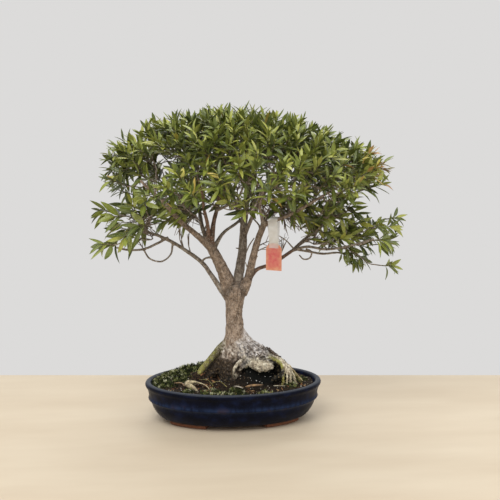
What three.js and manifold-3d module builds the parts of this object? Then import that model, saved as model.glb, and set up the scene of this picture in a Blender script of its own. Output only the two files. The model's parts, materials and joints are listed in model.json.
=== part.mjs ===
// Willow leaf ficus bonsai in an oval glazed pot: pot, drain screens, soil, the tree's wood, its leafy sprays
// and a plain hanging tag. Millimetres, +Z up. Every place is written in the pot's own frame: x runs along
// the pot, y away from its front and z up from the table, with the pot's middle at x = y = 0.

import * as THREE from 'three';
import { mergeVertices } from 'three/addons/utils/BufferGeometryUtils.js';
import Module from 'manifold-3d';

const wasm = await Module();
wasm.setup();

// The pot's middle stands this far from the middle of the whole, which is where the origin is.
const POT_OFFSET = new THREE.Vector3(-23, 0, 0);

// Clearance between pieces that touch on the real thing
const GAP = 0.35;

// Pot. Its oval is everywhere POT_NARROWING less wide than it is long, down to a half length of POT_MIDDLE.
const POT_LENGTH = 250;
const POT_NARROWING = 84;
const POT_MIDDLE = 60;
const POT_HEIGHT = 56;
const POT_SIDES = 32;
const FOOT_HEIGHT = 5;
const FLOOR_TOP = 12;
const POT_OUTER_WALL = [
  [101, FOOT_HEIGHT], [109, 12], [117.5, 28.5], [120.8, 32],
  [120, 35.5], [122.5, 47], [POT_LENGTH / 2, 51.5], [POT_LENGTH / 2 - 1.5, POT_HEIGHT - 0.8],
  [121, POT_HEIGHT],
];
const POT_INNER_WALL = [[117, POT_HEIGHT - 1], [115, 50], [109, 26], [95, FLOOR_TOP]];
const FOOT_OUTER = 100;
const FOOT_INNER = 86;
const FOOT_START = 0.45;
const FOOT_END = 1.13;
const FOOT_STEPS = 5;
const DRAIN_RADIUS = 7;
const DRAIN_SIDES = 16;
const DRAIN_SPACING = 90;

// Drain screens of moulded net, lying on the pot's floor over the drain holes
const SCREEN_SIDE = 26;
const SCREEN_THICKNESS = 1;
const SCREEN_HOLES = 2;
const SCREEN_HOLE_SIDE = 8;
const SCREEN_PITCH = 10.5;

// Soil: level at the rim, mounded round the trunk, and standing up under the arch of the roots
const SOIL_EDGE = 50;
const SOIL_RINGS = [102, 84, 68, 52, 36, 18];
const SOIL_MOUNDS = [
  { x: 16, y: -2, wide: 48, deep: 34, high: 10 },
  { x: 44, y: -15, wide: 22, deep: 12, high: 17 },
  { x: -70, y: 10, wide: 26, deep: 22, high: 3 },
];
const SOIL_RIPPLE = 1.1;

// Wood. A limb's places give its radius there too: [x, y, z, radius].
const TRUNK = [
  [0, 1, 36, 20], [-1, 0, 60, 19], [-2, 0, 86, 17.5], [0, 0, 108, 14.5], [2, 0, 128, 13],
  [1, 0, 152, 11.8], [2, 0, 173, 13.5], [2, 0, 187, 15.5], [3, 1, 204, 7],
];
const TRUNK_SIDES = 8;
const TRUNK_STEPS = 9;
const THICK_LIMBS = [
  { sides: 7, steps: 4, places: [[-4, 1, 180, 10], [-12, -1, 203, 8.6], [-20, -3, 225, 7.8],
    [-32, -7, 248, 6.4]] },
  { sides: 6, steps: 9, places: [[7, 3, 182, 8], [10, 9, 208, 5.8], [15, 18, 240, 5.2], [17, 25, 276, 4],
    [22, 28, 309, 3.2], [24, 26, 350, 2.4], [26, 22, 384, 1.6]] },
  { sides: 6, steps: 6, places: [[11, -2, 180, 9], [20, -6, 200, 6.4], [26, -10, 228, 5.3],
    [33, -16, 257, 4.6], [42, -20, 281, 4]] },
];
const BRANCHES = [
  [[-30, -6, 244, 6], [-49, -16, 263, 4.3], [-72, -28, 284, 3.6], [-92, -40, 308, 2.9],
    [-125, -55, 342, 1.8]],
  [[-34, -6, 250, 4.2], [-42, 12, 271, 3], [-46, 40, 296, 2.5], [-55, 67, 323, 2.1], [-66, 88, 346, 1.6]],
  [[-35, -8, 254, 3.8], [-36, -16, 278, 2.8], [-41, -30, 300, 2.3], [-44, -46, 322, 1.9],
    [-50, -72, 345, 1.6]],
  [[-31, -6, 247, 4.6], [-27, 0, 280, 3.2], [-20, 8, 306, 2.7], [-16, 12, 340, 2.1], [-20, 18, 382, 1.6]],
  [[-24, 4, 296, 2.6], [-10, -12, 304, 2], [2, -32, 313, 1.8], [10, -66, 336, 1.6]],
  [[-29, -5, 242, 4], [-13, 11, 264, 2.4], [8, 27, 277, 2.2], [30, 52, 295, 1.9], [49, 88, 321, 1.6]],
  [[-8, 4, 172, 5], [-29, 15, 202, 3.4], [-42, 21, 220, 3.1], [-65, 28, 237, 2.8], [-84, 31, 249, 2.5],
    [-104, 29, 259, 2.3], [-119, 24, 266, 2], [-126, 18, 284, 1.6]],
  [[-90, 31, 256, 2], [-106, 27, 248, 1.9], [-125, 21, 241, 1.8], [-146, 15, 241, 1.7], [-162, 12, 245, 1.6]],
  [[-114, 26, 263, 2], [-134, 20, 267, 1.8], [-148, 13, 276, 1.6]],
  [[-84, 31, 246, 1.8], [-87, 28, 232, 1.5], [-100, 22, 223, 1.4], [-117, 20, 228, 1.4],
    [-124, 21, 239, 1.5]],
  [[17, 22, 258, 3.6], [24, 14, 277, 2.8], [32, 0, 299, 2.3], [42, -20, 323, 1.9], [52, -42, 347, 1.6]],
  [[41, -20, 278, 3.8], [52, -26, 284, 3], [75, -39, 294, 2.6], [102, -53, 312, 2.1], [137, -66, 334, 1.6]],
  [[36, -17, 267, 3.4], [45, -6, 287, 2.7], [66, 5, 297, 2.4], [100, 27, 312, 2], [145, 54, 336, 1.6]],
  [[41, -20, 277, 3.4], [37, -27, 292, 2.6], [33, -42, 305, 2.2], [35, -80, 334, 1.6]],
  [[22, -8, 203, 4.4], [33, -4, 214, 2.9], [55, 3, 220, 2.8], [72, 7, 230, 2.6], [88, 11, 240, 2.4]],
  [[86, 11, 239, 2.4], [102, 14, 253, 2.2], [126, 21, 270, 1.9], [150, 29, 291, 1.7], [174, 34, 314, 1.6]],
  [[85, 11, 238, 2.4], [104, 4, 244, 2.1], [130, -10, 242, 1.9], [162, -24, 249, 1.7], [192, -32, 259, 1.6]],
  [[88, 10, 240, 2], [109, 11, 236, 1.8], [128, 9, 233, 1.7], [150, 4, 235, 1.6], [166, -1, 231, 1.5]],
  [[-30, -3, 232, 2], [-38, 8, 229, 1.5], [-42, 19, 224, 1.8]],
];
const BRANCH_STEP = 31;
const FINE_BRANCH = 3;

// Roots: the hood that swells from the trunk's right side, and the roots that run over and into the soil
const ROOT_HOODS = [
  { x: 23, y: -3, z: 93, across: 25, deep: 21, high: 15, tilt: 0.3 },
  { x: 48, y: -3, z: 89, across: 24, deep: 19, high: 15, tilt: 0.55 },
  { x: 70, y: -6, z: 74, across: 15, deep: 13, high: 12, tilt: 0.8 },
];
const ROOTS = [
  [[6, 0, 136, 9.5], [14, -1, 118, 10.5], [27, -3, 102, 10]],
  [[-4, 0, 112, 7], [-18, -1, 103, 5.2], [-29, -2, 90, 4.8], [-41, -3, 77, 4.4], [-50, -4, 64, 3.8],
    [-55, -5, 46, 3]],
  [[0, 8, 100, 8], [-8, 24, 80, 6.5], [-14, 38, 64, 5], [-20, 50, 46, 4]],
  [[10, 6, 98, 8], [34, 18, 84, 6], [52, 30, 66, 5], [60, 38, 44, 4]],
  [[12, -10, 98, 5], [7, -22, 84, 3.4], [0, -27, 72, 2.8], [-5, -30, 48, 2.4]],
  [[16, -14, 92, 5], [26, -24, 88, 7], [40, -28, 84, 8.5], [53, -24, 80, 5]],
  [[42, -10, 98, 5], [56, -20, 92, 4], [63, -26, 84, 3.4], [66, -30, 70, 3.2], [66, -32, 46, 2.6]],
  [[48, -6, 96, 5], [64, -12, 89, 4], [73, -18, 78, 3.4], [76, -22, 64, 3], [77, -24, 44, 2.4]],
  [[54, 0, 94, 5], [70, -1, 84, 4], [82, -5, 72, 3], [92, -10, 58, 2.4], [98, -13, 44, 2]],
  [[-10, -6, 66, 8], [-30, -14, 54, 4.4], [-52, -17, 56, 4], [-65, -22, 57, 4], [-59, -31, 53, 3.4],
    [-50, -38, 42, 2.4]],
  [[-60, -18, 61, 2.4], [-48, -26, 58, 2], [-38, -33, 52, 1.8], [-32, -36, 42, 1.6]],
];
const HOOD_SIDES = 9;
const HOOD_BANDS = 5;
const ROOT_SIDES = 5;
const ROOT_STEP = 22;

// Twigs. Each grows from a near limb that heads its way, leaves along that limb and arrives along its spray.
const TWIG_STEPS = 2;
const TWIG_SHORTEST = 10;
const TWIG_STRAIGHTNESS = 1.7;
const TWIG_LEAVING = 0.14;
const TWIG_ARRIVING = 0.1;
const TWIG_THICKENING = 0.008;
const BUDS_START = { limb: 0.45, twig: 0.35 };
const BUD_PARTS = [0.3, 0.6, 0.9];

// Crown: a flattened dome of sprays, a ring of them round its edge, a few inside, and a lower pad at each end
const DOME = { x: 18, y: 0, base: 350, rise: 86, halfLength: 208, halfDepth: 165, fullness: 2.3 };
const DOME_SPRAYS = 24;
const DOME_SPREAD = 0.9;
const RINGS = [
  { share: 0.98, height: 338, wave: 10, sprays: 12, start: 0.25, twist: 0, lift: 0.18 },
  { share: 0.6, height: 326, wave: 0, sprays: 6, start: 0.4, twist: 0.4, lift: 0.1 },
];
const PADS = [
  { x: -159, y: 12, z: 268, length: 50, depth: 60, height: 50, sprays: 5, outward: -0.7 },
  { x: 200, y: -14, z: 256, length: 58, depth: 66, height: 54, sprays: 6, outward: 0.7 },
];
const CROWN_ROOT = new THREE.Vector3(18, 0, 250);
const GOLDEN_ANGLE = Math.PI * (3 - Math.sqrt(5));

// One spray: a green shoot, and narrow pointed leaves set round it
const SHOOT_LENGTH = 36;
const SHOOT_RADIUS = 1.3;
const SHOOT_TIP_RADIUS = 0.8;
const SHOOT_LIFT = 3;
const SHOOT_STEPS = 2;
const LEAVES_EACH = 10;
const LEAVES_FROM = 0.28;
const LEAVES_TO = 0.94;
const LEAF_LENGTH = 31;
const LEAF_WIDTH = 6.6;
const LEAF_THICKNESS = 0.9;
const LEAF_CUP = 0.12;
const LEAF_BANDS = [
  { pole: 1, along: 0, width: 0 },
  { pole: 0, along: 0.4, width: 1 },
  { pole: -1, along: 1, width: 0 },
];
const LEAF_ROOT = 0.45;
const LEAF_LEAN = { base: 1.15, closing: 0.45, play: 0.25 };
const LEAF_ARCH = { least: 0.06, play: 0.16 };
const LEAF_TRIES = 14;
const LEAF_ROOM_AT = [0.22, 0.38, 0.54, 0.7, 0.85, 1];
const LEAF_CLEARANCE = 0.7;
const SPRAY_REACH = SHOOT_LENGTH + 0.6 * LEAF_LENGTH;
const SPRAY_TRIES = 30;
const SPRAY_TURN = 0.12;
const SPRAY_SEED = 2428;

// Tag: a plastic band over the right fork, which holds a plate with an arched top
const TAG = { x: 54, y: -27, branchHeight: 284.9, turn: -0.5 };
const STRAP_WIDTH = 14;
const STRAP_THICKNESS = 0.7;
const STRAP_LOOP_HALF_DEPTH = 4.6;
const STRAP_LOOP_TOP = 5.6;
const STRAP_SHOULDER_DROP = 9;
const STRAP_FOOT_DROP = 38;
const LABEL_WIDTH = 23;
const LABEL_ARCH = 9.2;
const LABEL_TOP_DROP = 31;
const LABEL_BOTTOM_DROP = 69;
const LABEL_THICKNESS = 0.8;
const TAG_ROOM_OVER = 6;
const TAG_ROOM_STEP = 8;

function finish(colour, roughness, metalness = 0) {
  return new THREE.MeshStandardMaterial({ color: colour, roughness, metalness });
}

const GLAZE = finish(0x1c2536, 0.3);
const SCREEN_PLASTIC = finish(0x2a2c2b, 0.6);
const EARTH = finish(0x3a3222, 0.95);
const BARK = finish(0x9a8a74, 0.85);
const LEAF_GREEN = finish(0x3f6424, 0.45);
const CLEAR_PLASTIC = finish(0xdfe3e2, 0.3);
const LABEL_PINK = finish(0xe4696a, 0.5);

// Solids

function solidOf(geometry) {
  geometry.deleteAttribute('normal');
  geometry.deleteAttribute('uv');
  const merged = mergeVertices(geometry, 1e-4);
  return new wasm.Manifold(new wasm.Mesh({
    numProp: 3,
    vertProperties: new Float32Array(merged.attributes.position.array),
    triVerts: new Uint32Array(merged.index.array),
  }));
}

function geometryOf(solid) {
  const mesh = solid.getMesh();
  const geometry = new THREE.BufferGeometry();
  geometry.setAttribute('position', new THREE.BufferAttribute(mesh.vertProperties, 3));
  geometry.setIndex(new THREE.BufferAttribute(mesh.triVerts, 1));
  geometry.computeVertexNormals();
  return geometry;
}

// Joins neighbours in pairs until one solid is left.
function joined(solids) {
  let layer = solids;
  while (layer.length > 1) {
    const next = [];
    for (let i = 0; i < layer.length; i += 2) {
      next.push(i + 1 < layer.length ? layer[i].add(layer[i + 1]) : layer[i]);
    }
    layer = next;
  }
  return layer[0];
}

function reshaped(geometry, move) {
  const position = geometry.attributes.position;
  const point = new THREE.Vector3();
  for (let i = 0; i < position.count; i += 1) {
    point.fromBufferAttribute(position, i);
    move(point);
    position.setXYZ(i, point.x, point.y, point.z);
  }
  return geometry;
}

// Repeatable numbers from 0 to 1
function seededRandom(seed) {
  let state = seed;
  return () => {
    state = (state + 0x6d2b79f5) | 0;
    let mixed = Math.imul(state ^ (state >>> 15), 1 | state);
    mixed = (mixed + Math.imul(mixed ^ (mixed >>> 7), 61 | mixed)) ^ mixed;
    return ((mixed ^ (mixed >>> 14)) >>> 0) / 4294967296;
  };
}

// Pot

// Half the oval's width where half its length is the given radius
function ovalWidth(radius) {
  const narrowing = POT_NARROWING / 2;
  return radius > POT_MIDDLE ? radius - narrowing : radius * (POT_MIDDLE - narrowing) / POT_MIDDLE;
}

// A lathe profile of [radius, height] pairs, turned about z and drawn in to the pot's oval
function ovalTurned(profile) {
  const points = profile.map(([radius, height]) => new THREE.Vector2(radius, height));
  const geometry = new THREE.LatheGeometry(points, POT_SIDES);
  geometry.rotateX(Math.PI / 2);
  return reshaped(geometry, (point) => {
    const radius = Math.hypot(point.x, point.y);
    if (radius > 1e-6) point.y *= ovalWidth(radius) / radius;
  });
}

// One foot, following the oval, between two angles
function footGeometry(start, end) {
  const shape = new THREE.Shape();
  const corner = (radius, angle) => [radius * Math.cos(angle), ovalWidth(radius) * Math.sin(angle)];
  shape.moveTo(...corner(FOOT_OUTER, start));
  for (let i = 1; i <= FOOT_STEPS; i += 1) {
    shape.lineTo(...corner(FOOT_OUTER, start + (end - start) * i / FOOT_STEPS));
  }
  for (let i = FOOT_STEPS; i >= 0; i -= 1) {
    shape.lineTo(...corner(FOOT_INNER, start + (end - start) * i / FOOT_STEPS));
  }
  return new THREE.ExtrudeGeometry(shape, { depth: FOOT_HEIGHT + 1, bevelEnabled: false });
}

function drainHole(x) {
  const drill = new THREE.CylinderGeometry(DRAIN_RADIUS, DRAIN_RADIUS, 3 * FLOOR_TOP, DRAIN_SIDES);
  drill.rotateX(Math.PI / 2);
  drill.translate(x, 0, FLOOR_TOP / 2);
  return solidOf(drill);
}

function potSolid() {
  const profile = [[0, FOOT_HEIGHT], ...POT_OUTER_WALL, ...POT_INNER_WALL, [0, FLOOR_TOP]];
  const feet = [0, 1].flatMap((half) => {
    const turn = half * Math.PI;
    return [[turn + FOOT_START, turn + FOOT_END], [turn - FOOT_END, turn - FOOT_START]];
  });
  const body = joined([
    solidOf(ovalTurned(profile)),
    ...feet.map(([start, end]) => solidOf(footGeometry(start, end))),
  ]);
  return body.subtract(drainHole(-DRAIN_SPACING / 2)).subtract(drainHole(DRAIN_SPACING / 2));
}

function boxSolid(wide, deep, high, x, y, z) {
  const box = new THREE.BoxGeometry(wide, deep, high);
  box.translate(x, y, z);
  return solidOf(box);
}

function screenSolid(x) {
  const middle = FLOOR_TOP + GAP + SCREEN_THICKNESS / 2;
  let screen = boxSolid(SCREEN_SIDE, SCREEN_SIDE, SCREEN_THICKNESS, x, 0, middle);
  const first = -SCREEN_PITCH * (SCREEN_HOLES - 1) / 2;
  for (let i = 0; i < SCREEN_HOLES; i += 1) {
    for (let j = 0; j < SCREEN_HOLES; j += 1) {
      const holeX = x + first + i * SCREEN_PITCH;
      const holeY = first + j * SCREEN_PITCH;
      const side = SCREEN_HOLE_SIDE;
      screen = screen.subtract(boxSolid(side, side, 3 * SCREEN_THICKNESS, holeX, holeY, middle));
    }
  }
  return screen;
}

// Soil

function soilHeight(x, y) {
  let height = SOIL_EDGE;
  for (const mound of SOIL_MOUNDS) {
    const far = ((x - mound.x) / mound.wide) ** 2 + ((y - mound.y) / mound.deep) ** 2;
    height += mound.high * Math.exp(-far);
  }
  return height + SOIL_RIPPLE * Math.sin(x / 7 + Math.sin(y / 9)) * Math.cos(y / 8 - x / 23);
}

function soilSolid(wood) {
  const wallInside = POT_INNER_WALL.slice(1).reverse().map(([radius, height]) => [radius - GAP, height]);
  wallInside[0][1] = FLOOR_TOP + GAP;
  wallInside[wallInside.length - 1][1] = SOIL_EDGE;
  const profile = [
    [0, FLOOR_TOP + GAP], ...wallInside,
    ...SOIL_RINGS.map((radius) => [radius, SOIL_EDGE + 1]), [0, SOIL_EDGE + 1],
  ];
  const geometry = reshaped(ovalTurned(profile), (point) => {
    if (point.z > SOIL_EDGE + 0.5) point.z = soilHeight(point.x, point.y);
  });
  let soil = solidOf(geometry).subtract(wood);
  for (const x of [-DRAIN_SPACING / 2, DRAIN_SPACING / 2]) {
    const side = SCREEN_SIDE + 2 * GAP;
    soil = soil.subtract(boxSolid(side, side, 2 * (SCREEN_THICKNESS + GAP), x, 0, FLOOR_TOP + GAP));
  }
  return soil;
}

// Wood

function curveThrough(places) {
  const points = places.map(([x, y, z]) => new THREE.Vector3(x, y, z));
  return new THREE.CatmullRomCurve3(points, false, 'centripetal');
}

// The middles and radii of a limb's rings
function limbRings(places, steps) {
  const path = curveThrough(places);
  return path.getSpacedPoints(steps).map((centre, ring) => {
    const along = path.getUtoTmapping(ring / steps) * (places.length - 1);
    const from = Math.min(Math.floor(along), places.length - 2);
    return { centre, radius: THREE.MathUtils.lerp(places[from][3], places[from + 1][3], along - from) };
  });
}

// A closed tube through [x, y, z, radius] places. Extra is added to its radius all along.
function limbSolid({ places, sides, steps }, extra = 0) {
  const section = new THREE.Shape();
  for (let i = 0; i < sides; i += 1) {
    const angle = 2 * Math.PI * i / sides;
    section[i === 0 ? 'moveTo' : 'lineTo'](Math.cos(angle), Math.sin(angle));
  }
  const path = curveThrough(places);
  const geometry = new THREE.ExtrudeGeometry(section, { steps, extrudePath: path, bevelEnabled: false });
  const rings = limbRings(places, steps);
  return solidOf(reshaped(geometry, (point) => {
    const ring = nearestRing(rings, point);
    point.sub(ring.centre).multiplyScalar(ring.radius + extra).add(ring.centre);
  }));
}

function nearestRing(rings, point) {
  return rings.reduce((best, ring) => (
    ring.centre.distanceToSquared(point) < best.centre.distanceToSquared(point) ? ring : best
  ));
}

function routeLength(places) {
  let length = 0;
  for (let i = 1; i < places.length; i += 1) {
    length += Math.hypot(...[0, 1, 2].map((axis) => places[i][axis] - places[i - 1][axis]));
  }
  return length;
}

// A limb with the sides given and rings about a step apart
function limbOf(places, sides, step) {
  return { places, sides, steps: Math.max(2, Math.round(routeLength(places) / step)) };
}

function hoodSolid(hood, extra) {
  const lump = new THREE.SphereGeometry(1, HOOD_SIDES, HOOD_BANDS);
  lump.scale(hood.across + extra, hood.deep + extra, hood.high + extra);
  lump.rotateY(hood.tilt);
  lump.translate(hood.x, hood.y, hood.z);
  return solidOf(lump);
}

// Trunk foot and roots, which also cut the holes that they stand in when they are made a little thicker
function rootSolids(extra) {
  return [
    limbSolid({ places: TRUNK, sides: TRUNK_SIDES, steps: TRUNK_STEPS }, extra),
    ...ROOT_HOODS.map((hood) => hoodSolid(hood, extra)),
    ...ROOTS.map((places) => limbSolid(limbOf(places, ROOT_SIDES, ROOT_STEP), extra)),
  ];
}

// Places along a limb that a twig may grow from, with the limb's way and thickness there
function budsAlong({ places, steps }, from) {
  const rings = limbRings(places, steps);
  const buds = [];
  for (let i = 1; i < rings.length; i += 1) {
    const start = rings[i - 1];
    const end = rings[i];
    const way = new THREE.Vector3().subVectors(end.centre, start.centre).normalize();
    for (const part of BUD_PARTS) {
      if ((i - 1 + part) / steps < from) continue;
      const point = new THREE.Vector3().lerpVectors(start.centre, end.centre, part);
      buds.push({ point, way, radius: THREE.MathUtils.lerp(start.radius, end.radius, part) });
    }
  }
  return buds;
}

// A twig from the best placed bud to where a spray starts, arriving along the spray's axis
function twigTo(start, axis, buds) {
  let best = null;
  let bestScore = Infinity;
  for (const bud of buds) {
    const reach = new THREE.Vector3().subVectors(start, bud.point);
    const length = reach.length();
    const ahead = reach.dot(bud.way) / length;
    const score = length * (TWIG_STRAIGHTNESS - ahead);
    if (length > TWIG_SHORTEST && ahead > 0 && score < bestScore) {
      bestScore = score;
      best = bud;
    }
  }
  const length = best.point.distanceTo(start);
  const middle = new THREE.Vector3().lerpVectors(best.point, start, 0.45);
  middle.addScaledVector(best.way, TWIG_LEAVING * length).addScaledVector(axis, -TWIG_ARRIVING * length);
  const last = start.clone().addScaledVector(axis, -Math.min(TWIG_SHORTEST, length / 2) / 2);
  const baseRadius = Math.min(best.radius, SHOOT_RADIUS + length * TWIG_THICKENING);
  const places = [
    [...best.point.toArray(), baseRadius],
    [...middle.toArray(), (baseRadius + SHOOT_RADIUS) / 2],
    [...last.toArray(), SHOOT_RADIUS],
    [...start.toArray(), SHOOT_RADIUS],
  ];
  return { places, sides: 4, steps: TWIG_STEPS };
}

// Crown

function domePoint(share, angle, height) {
  return new THREE.Vector3(
    DOME.x + DOME.halfLength * share * Math.cos(angle),
    DOME.y + DOME.halfDepth * share * Math.sin(angle),
    height,
  );
}

function domeSprays() {
  return Array.from({ length: DOME_SPRAYS }, (_, i) => {
    const share = DOME_SPREAD * Math.sqrt((i + 0.6) / DOME_SPRAYS);
    const angle = i * GOLDEN_ANGLE;
    const height = DOME.base + DOME.rise * (1 - share ** DOME.fullness);
    const axis = new THREE.Vector3(share * Math.cos(angle), share * Math.sin(angle), 0.7).normalize();
    return { tip: domePoint(share, angle, height), axis };
  });
}

function ringSprays(ring) {
  return Array.from({ length: ring.sprays }, (_, i) => {
    const angle = ring.start + i * 2 * Math.PI / ring.sprays;
    const height = ring.height + ring.wave * Math.cos(3 * i);
    const way = angle + ring.twist;
    const axis = new THREE.Vector3(Math.cos(way), Math.sin(way), ring.lift).normalize();
    return { tip: domePoint(ring.share, angle, height), axis };
  });
}

// Sprays on all sides of a pad, from its top down, drawn towards its outer end
function padSprays(pad) {
  return Array.from({ length: pad.sprays }, (_, i) => {
    const up = 1 - (2 * i + 1) / pad.sprays;
    const round = Math.sqrt(1 - up * up) * Math.sign(pad.outward);
    const angle = i * GOLDEN_ANGLE;
    const way = new THREE.Vector3(round * Math.cos(angle), round * Math.sin(angle), up);
    const tip = way.clone().multiply(new THREE.Vector3(pad.length, pad.depth, pad.height));
    tip.add(new THREE.Vector3(pad.x, pad.y, pad.z));
    const axis = way.add(new THREE.Vector3(pad.outward, 0, 0)).normalize();
    return { tip, axis };
  });
}

// Where each spray reaches to and which way it points, from the crown's root outwards
function sprayPlaces() {
  const places = [...domeSprays(), ...RINGS.flatMap(ringSprays), ...PADS.flatMap(padSprays)];
  return places.sort((a, b) => a.tip.distanceTo(CROWN_ROOT) - b.tip.distanceTo(CROWN_ROOT));
}

// A narrow pointed leaf: a sphere of three sides and two bands, drawn out along an arched midline.
// The two upper corners of its middle are the blade's edges, and the lower one is its keel.
function leafGeometry(leaf) {
  const blade = new THREE.SphereGeometry(1, 3, 2);
  return reshaped(blade, (point) => {
    const band = LEAF_BANDS.find(({ pole }) => Math.abs(pole - point.y) < 0.01);
    const corner = Math.round(Math.atan2(point.z, -point.x) / (2 * Math.PI / 3));
    const halfWidth = leaf.width / 2 * band.width;
    const thickness = LEAF_THICKNESS * band.width;
    point.copy(leafMiddle(leaf, band.along));
    if (corner === 0) {
      point.addScaledVector(leaf.face, -thickness * 2 / 3);
    } else {
      point.addScaledVector(leaf.side, corner * halfWidth);
      point.addScaledVector(leaf.face, thickness / 3 + LEAF_CUP * halfWidth);
    }
  });
}

function leafMiddle(leaf, along) {
  const distance = leaf.length * along;
  return leaf.root.clone()
    .addScaledVector(leaf.way, distance)
    .addScaledVector(leaf.face, -leaf.arch * leaf.length * along * along);
}

// Points down a leaf and the room it needs round each, to keep it clear of what it doesn't grow from
function leafRoom(leaf, owner) {
  return LEAF_ROOM_AT.map((along) => ({
    point: leafMiddle(leaf, along),
    room: leaf.width / 2 * (along < 0.6 ? 0.95 : 1.3 - along) + LEAF_CLEARANCE,
    owner,
    along,
  }));
}

// Whether some rooms are free of those taken. In one node only the outer halves of leaves are kept apart.
function isClear(rooms, taken) {
  return rooms.every(({ point, room, owner, along }) => taken.every((other) => {
    const sameNode = other.owner === owner;
    if (sameNode && Math.min(along, other.along) < 0.5) return true;
    const needed = (sameNode ? 0.6 : 1) * (room + other.room);
    return point.distanceToSquared(other.point) > needed * needed;
  }));
}

// One leaf on a stem, leaning out to one side
function leafAt(root, stem, out, lean, random) {
  const way = stem.clone().multiplyScalar(Math.cos(lean)).addScaledVector(out, Math.sin(lean)).normalize();
  const upright = new THREE.Vector3(0, 0, 1).addScaledVector(stem, 0.5).addScaledVector(out, 0.3 * random());
  const side = new THREE.Vector3().crossVectors(way, upright).normalize();
  return {
    root: root.clone().addScaledVector(way, -LEAF_ROOT),
    way,
    side,
    face: new THREE.Vector3().crossVectors(side, way).normalize(),
    length: LEAF_LENGTH * (0.84 + 0.24 * random()),
    width: LEAF_WIDTH * (0.88 + 0.2 * random()),
    arch: LEAF_ARCH.least + LEAF_ARCH.play * random(),
  };
}

// The leaves of one shoot. Each stands out of the middle of one of the shoot's four sides, which they take in
// turn, and they close up towards its tip. One that finds no clear place is left off.
function shootLeaves({ places, steps }, owner, taken, random) {
  const path = curveThrough(places);
  const { normals, binormals } = path.computeFrenetFrames(steps, false);
  const leaves = [];
  for (let i = 0; i < LEAVES_EACH; i += 1) {
    const last = i === LEAVES_EACH - 1;
    const t = last ? 0.985 : LEAVES_FROM + (LEAVES_TO - LEAVES_FROM) * i / LEAVES_EACH;
    const ring = Math.floor(path.getUtoTmapping(t) * steps);
    for (let tries = 0; tries < LEAF_TRIES; tries += 1) {
      const spin = Math.PI / 4 + Math.PI / 2 * (2 * i + Math.floor(i / 2) + tries);
      const out = normals[ring].clone().multiplyScalar(Math.cos(spin));
      out.addScaledVector(binormals[ring], Math.sin(spin));
      const open = LEAF_LEAN.base - LEAF_LEAN.closing * t + LEAF_LEAN.play * random();
      const leaf = leafAt(path.getPoint(t), path.getTangent(t), out, last ? 0.1 * open : open, random);
      const rooms = leafRoom(leaf, owner);
      if (isClear(rooms, taken)) {
        taken.push(...rooms);
        leaves.push(leaf);
        break;
      }
    }
  }
  return leaves;
}

// The room that a limb takes up
function limbRoom({ places, steps }, owner) {
  const rings = limbRings(places, steps);
  const rooms = [];
  for (let i = 1; i < rings.length; i += 1) {
    const start = rings[i - 1];
    const end = rings[i];
    const count = Math.ceil(start.centre.distanceTo(end.centre) / 4);
    for (let part = 0; part < 1; part += 1 / count) {
      const point = new THREE.Vector3().lerpVectors(start.centre, end.centre, part);
      const room = THREE.MathUtils.lerp(start.radius, end.radius, part) + LEAF_CLEARANCE;
      rooms.push({ point, room, owner, along: 0 });
    }
  }
  return rooms;
}

// The shoot of one spray, which turns up a little at its tip
function sprayShoot(start, axis) {
  const base = start.clone().addScaledVector(axis, GAP);
  const bend = base.clone().addScaledVector(axis, 0.3 * SHOOT_LENGTH);
  const tip = base.clone().addScaledVector(axis, SHOOT_LENGTH);
  tip.z += SHOOT_LIFT;
  const elbow = new THREE.Vector3().lerpVectors(bend, tip, 0.5);
  elbow.z -= SHOOT_LIFT / 4;
  const places = [
    [...base.toArray(), SHOOT_RADIUS],
    [...bend.toArray(), SHOOT_RADIUS],
    [...elbow.toArray(), (SHOOT_RADIUS + SHOOT_TIP_RADIUS) / 2],
    [...tip.toArray(), SHOOT_TIP_RADIUS],
  ];
  return { places, sides: 4, steps: SHOOT_STEPS };
}

// The twig and shoot of one spray, turned a little until they are clear of everything else
function grownSpray({ tip, axis }, buds, taken, owner, random) {
  let grown;
  for (let tries = 0; tries < SPRAY_TRIES; tries += 1) {
    const turn = new THREE.Vector3(random() - 0.5, random() - 0.5, random() - 0.5);
    const way = axis.clone().addScaledVector(turn, SPRAY_TURN * tries).normalize();
    const start = tip.clone().addScaledVector(way, -SPRAY_REACH);
    const twig = twigTo(start, way, buds);
    const shoot = sprayShoot(start, way);
    grown = { twig, shoot, rooms: [...limbRoom(twig, 'wood'), ...limbRoom(shoot, owner)] };
    if (isClear(grown.rooms, taken)) break;
  }
  taken.push(...grown.rooms);
  return grown;
}

// Tag

// Turns a piece made round the branch's own middle to its place on the branch
function hungOnBranch(geometry) {
  geometry.rotateZ(TAG.turn);
  geometry.translate(TAG.x, TAG.y, TAG.branchHeight);
  return geometry;
}

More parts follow.
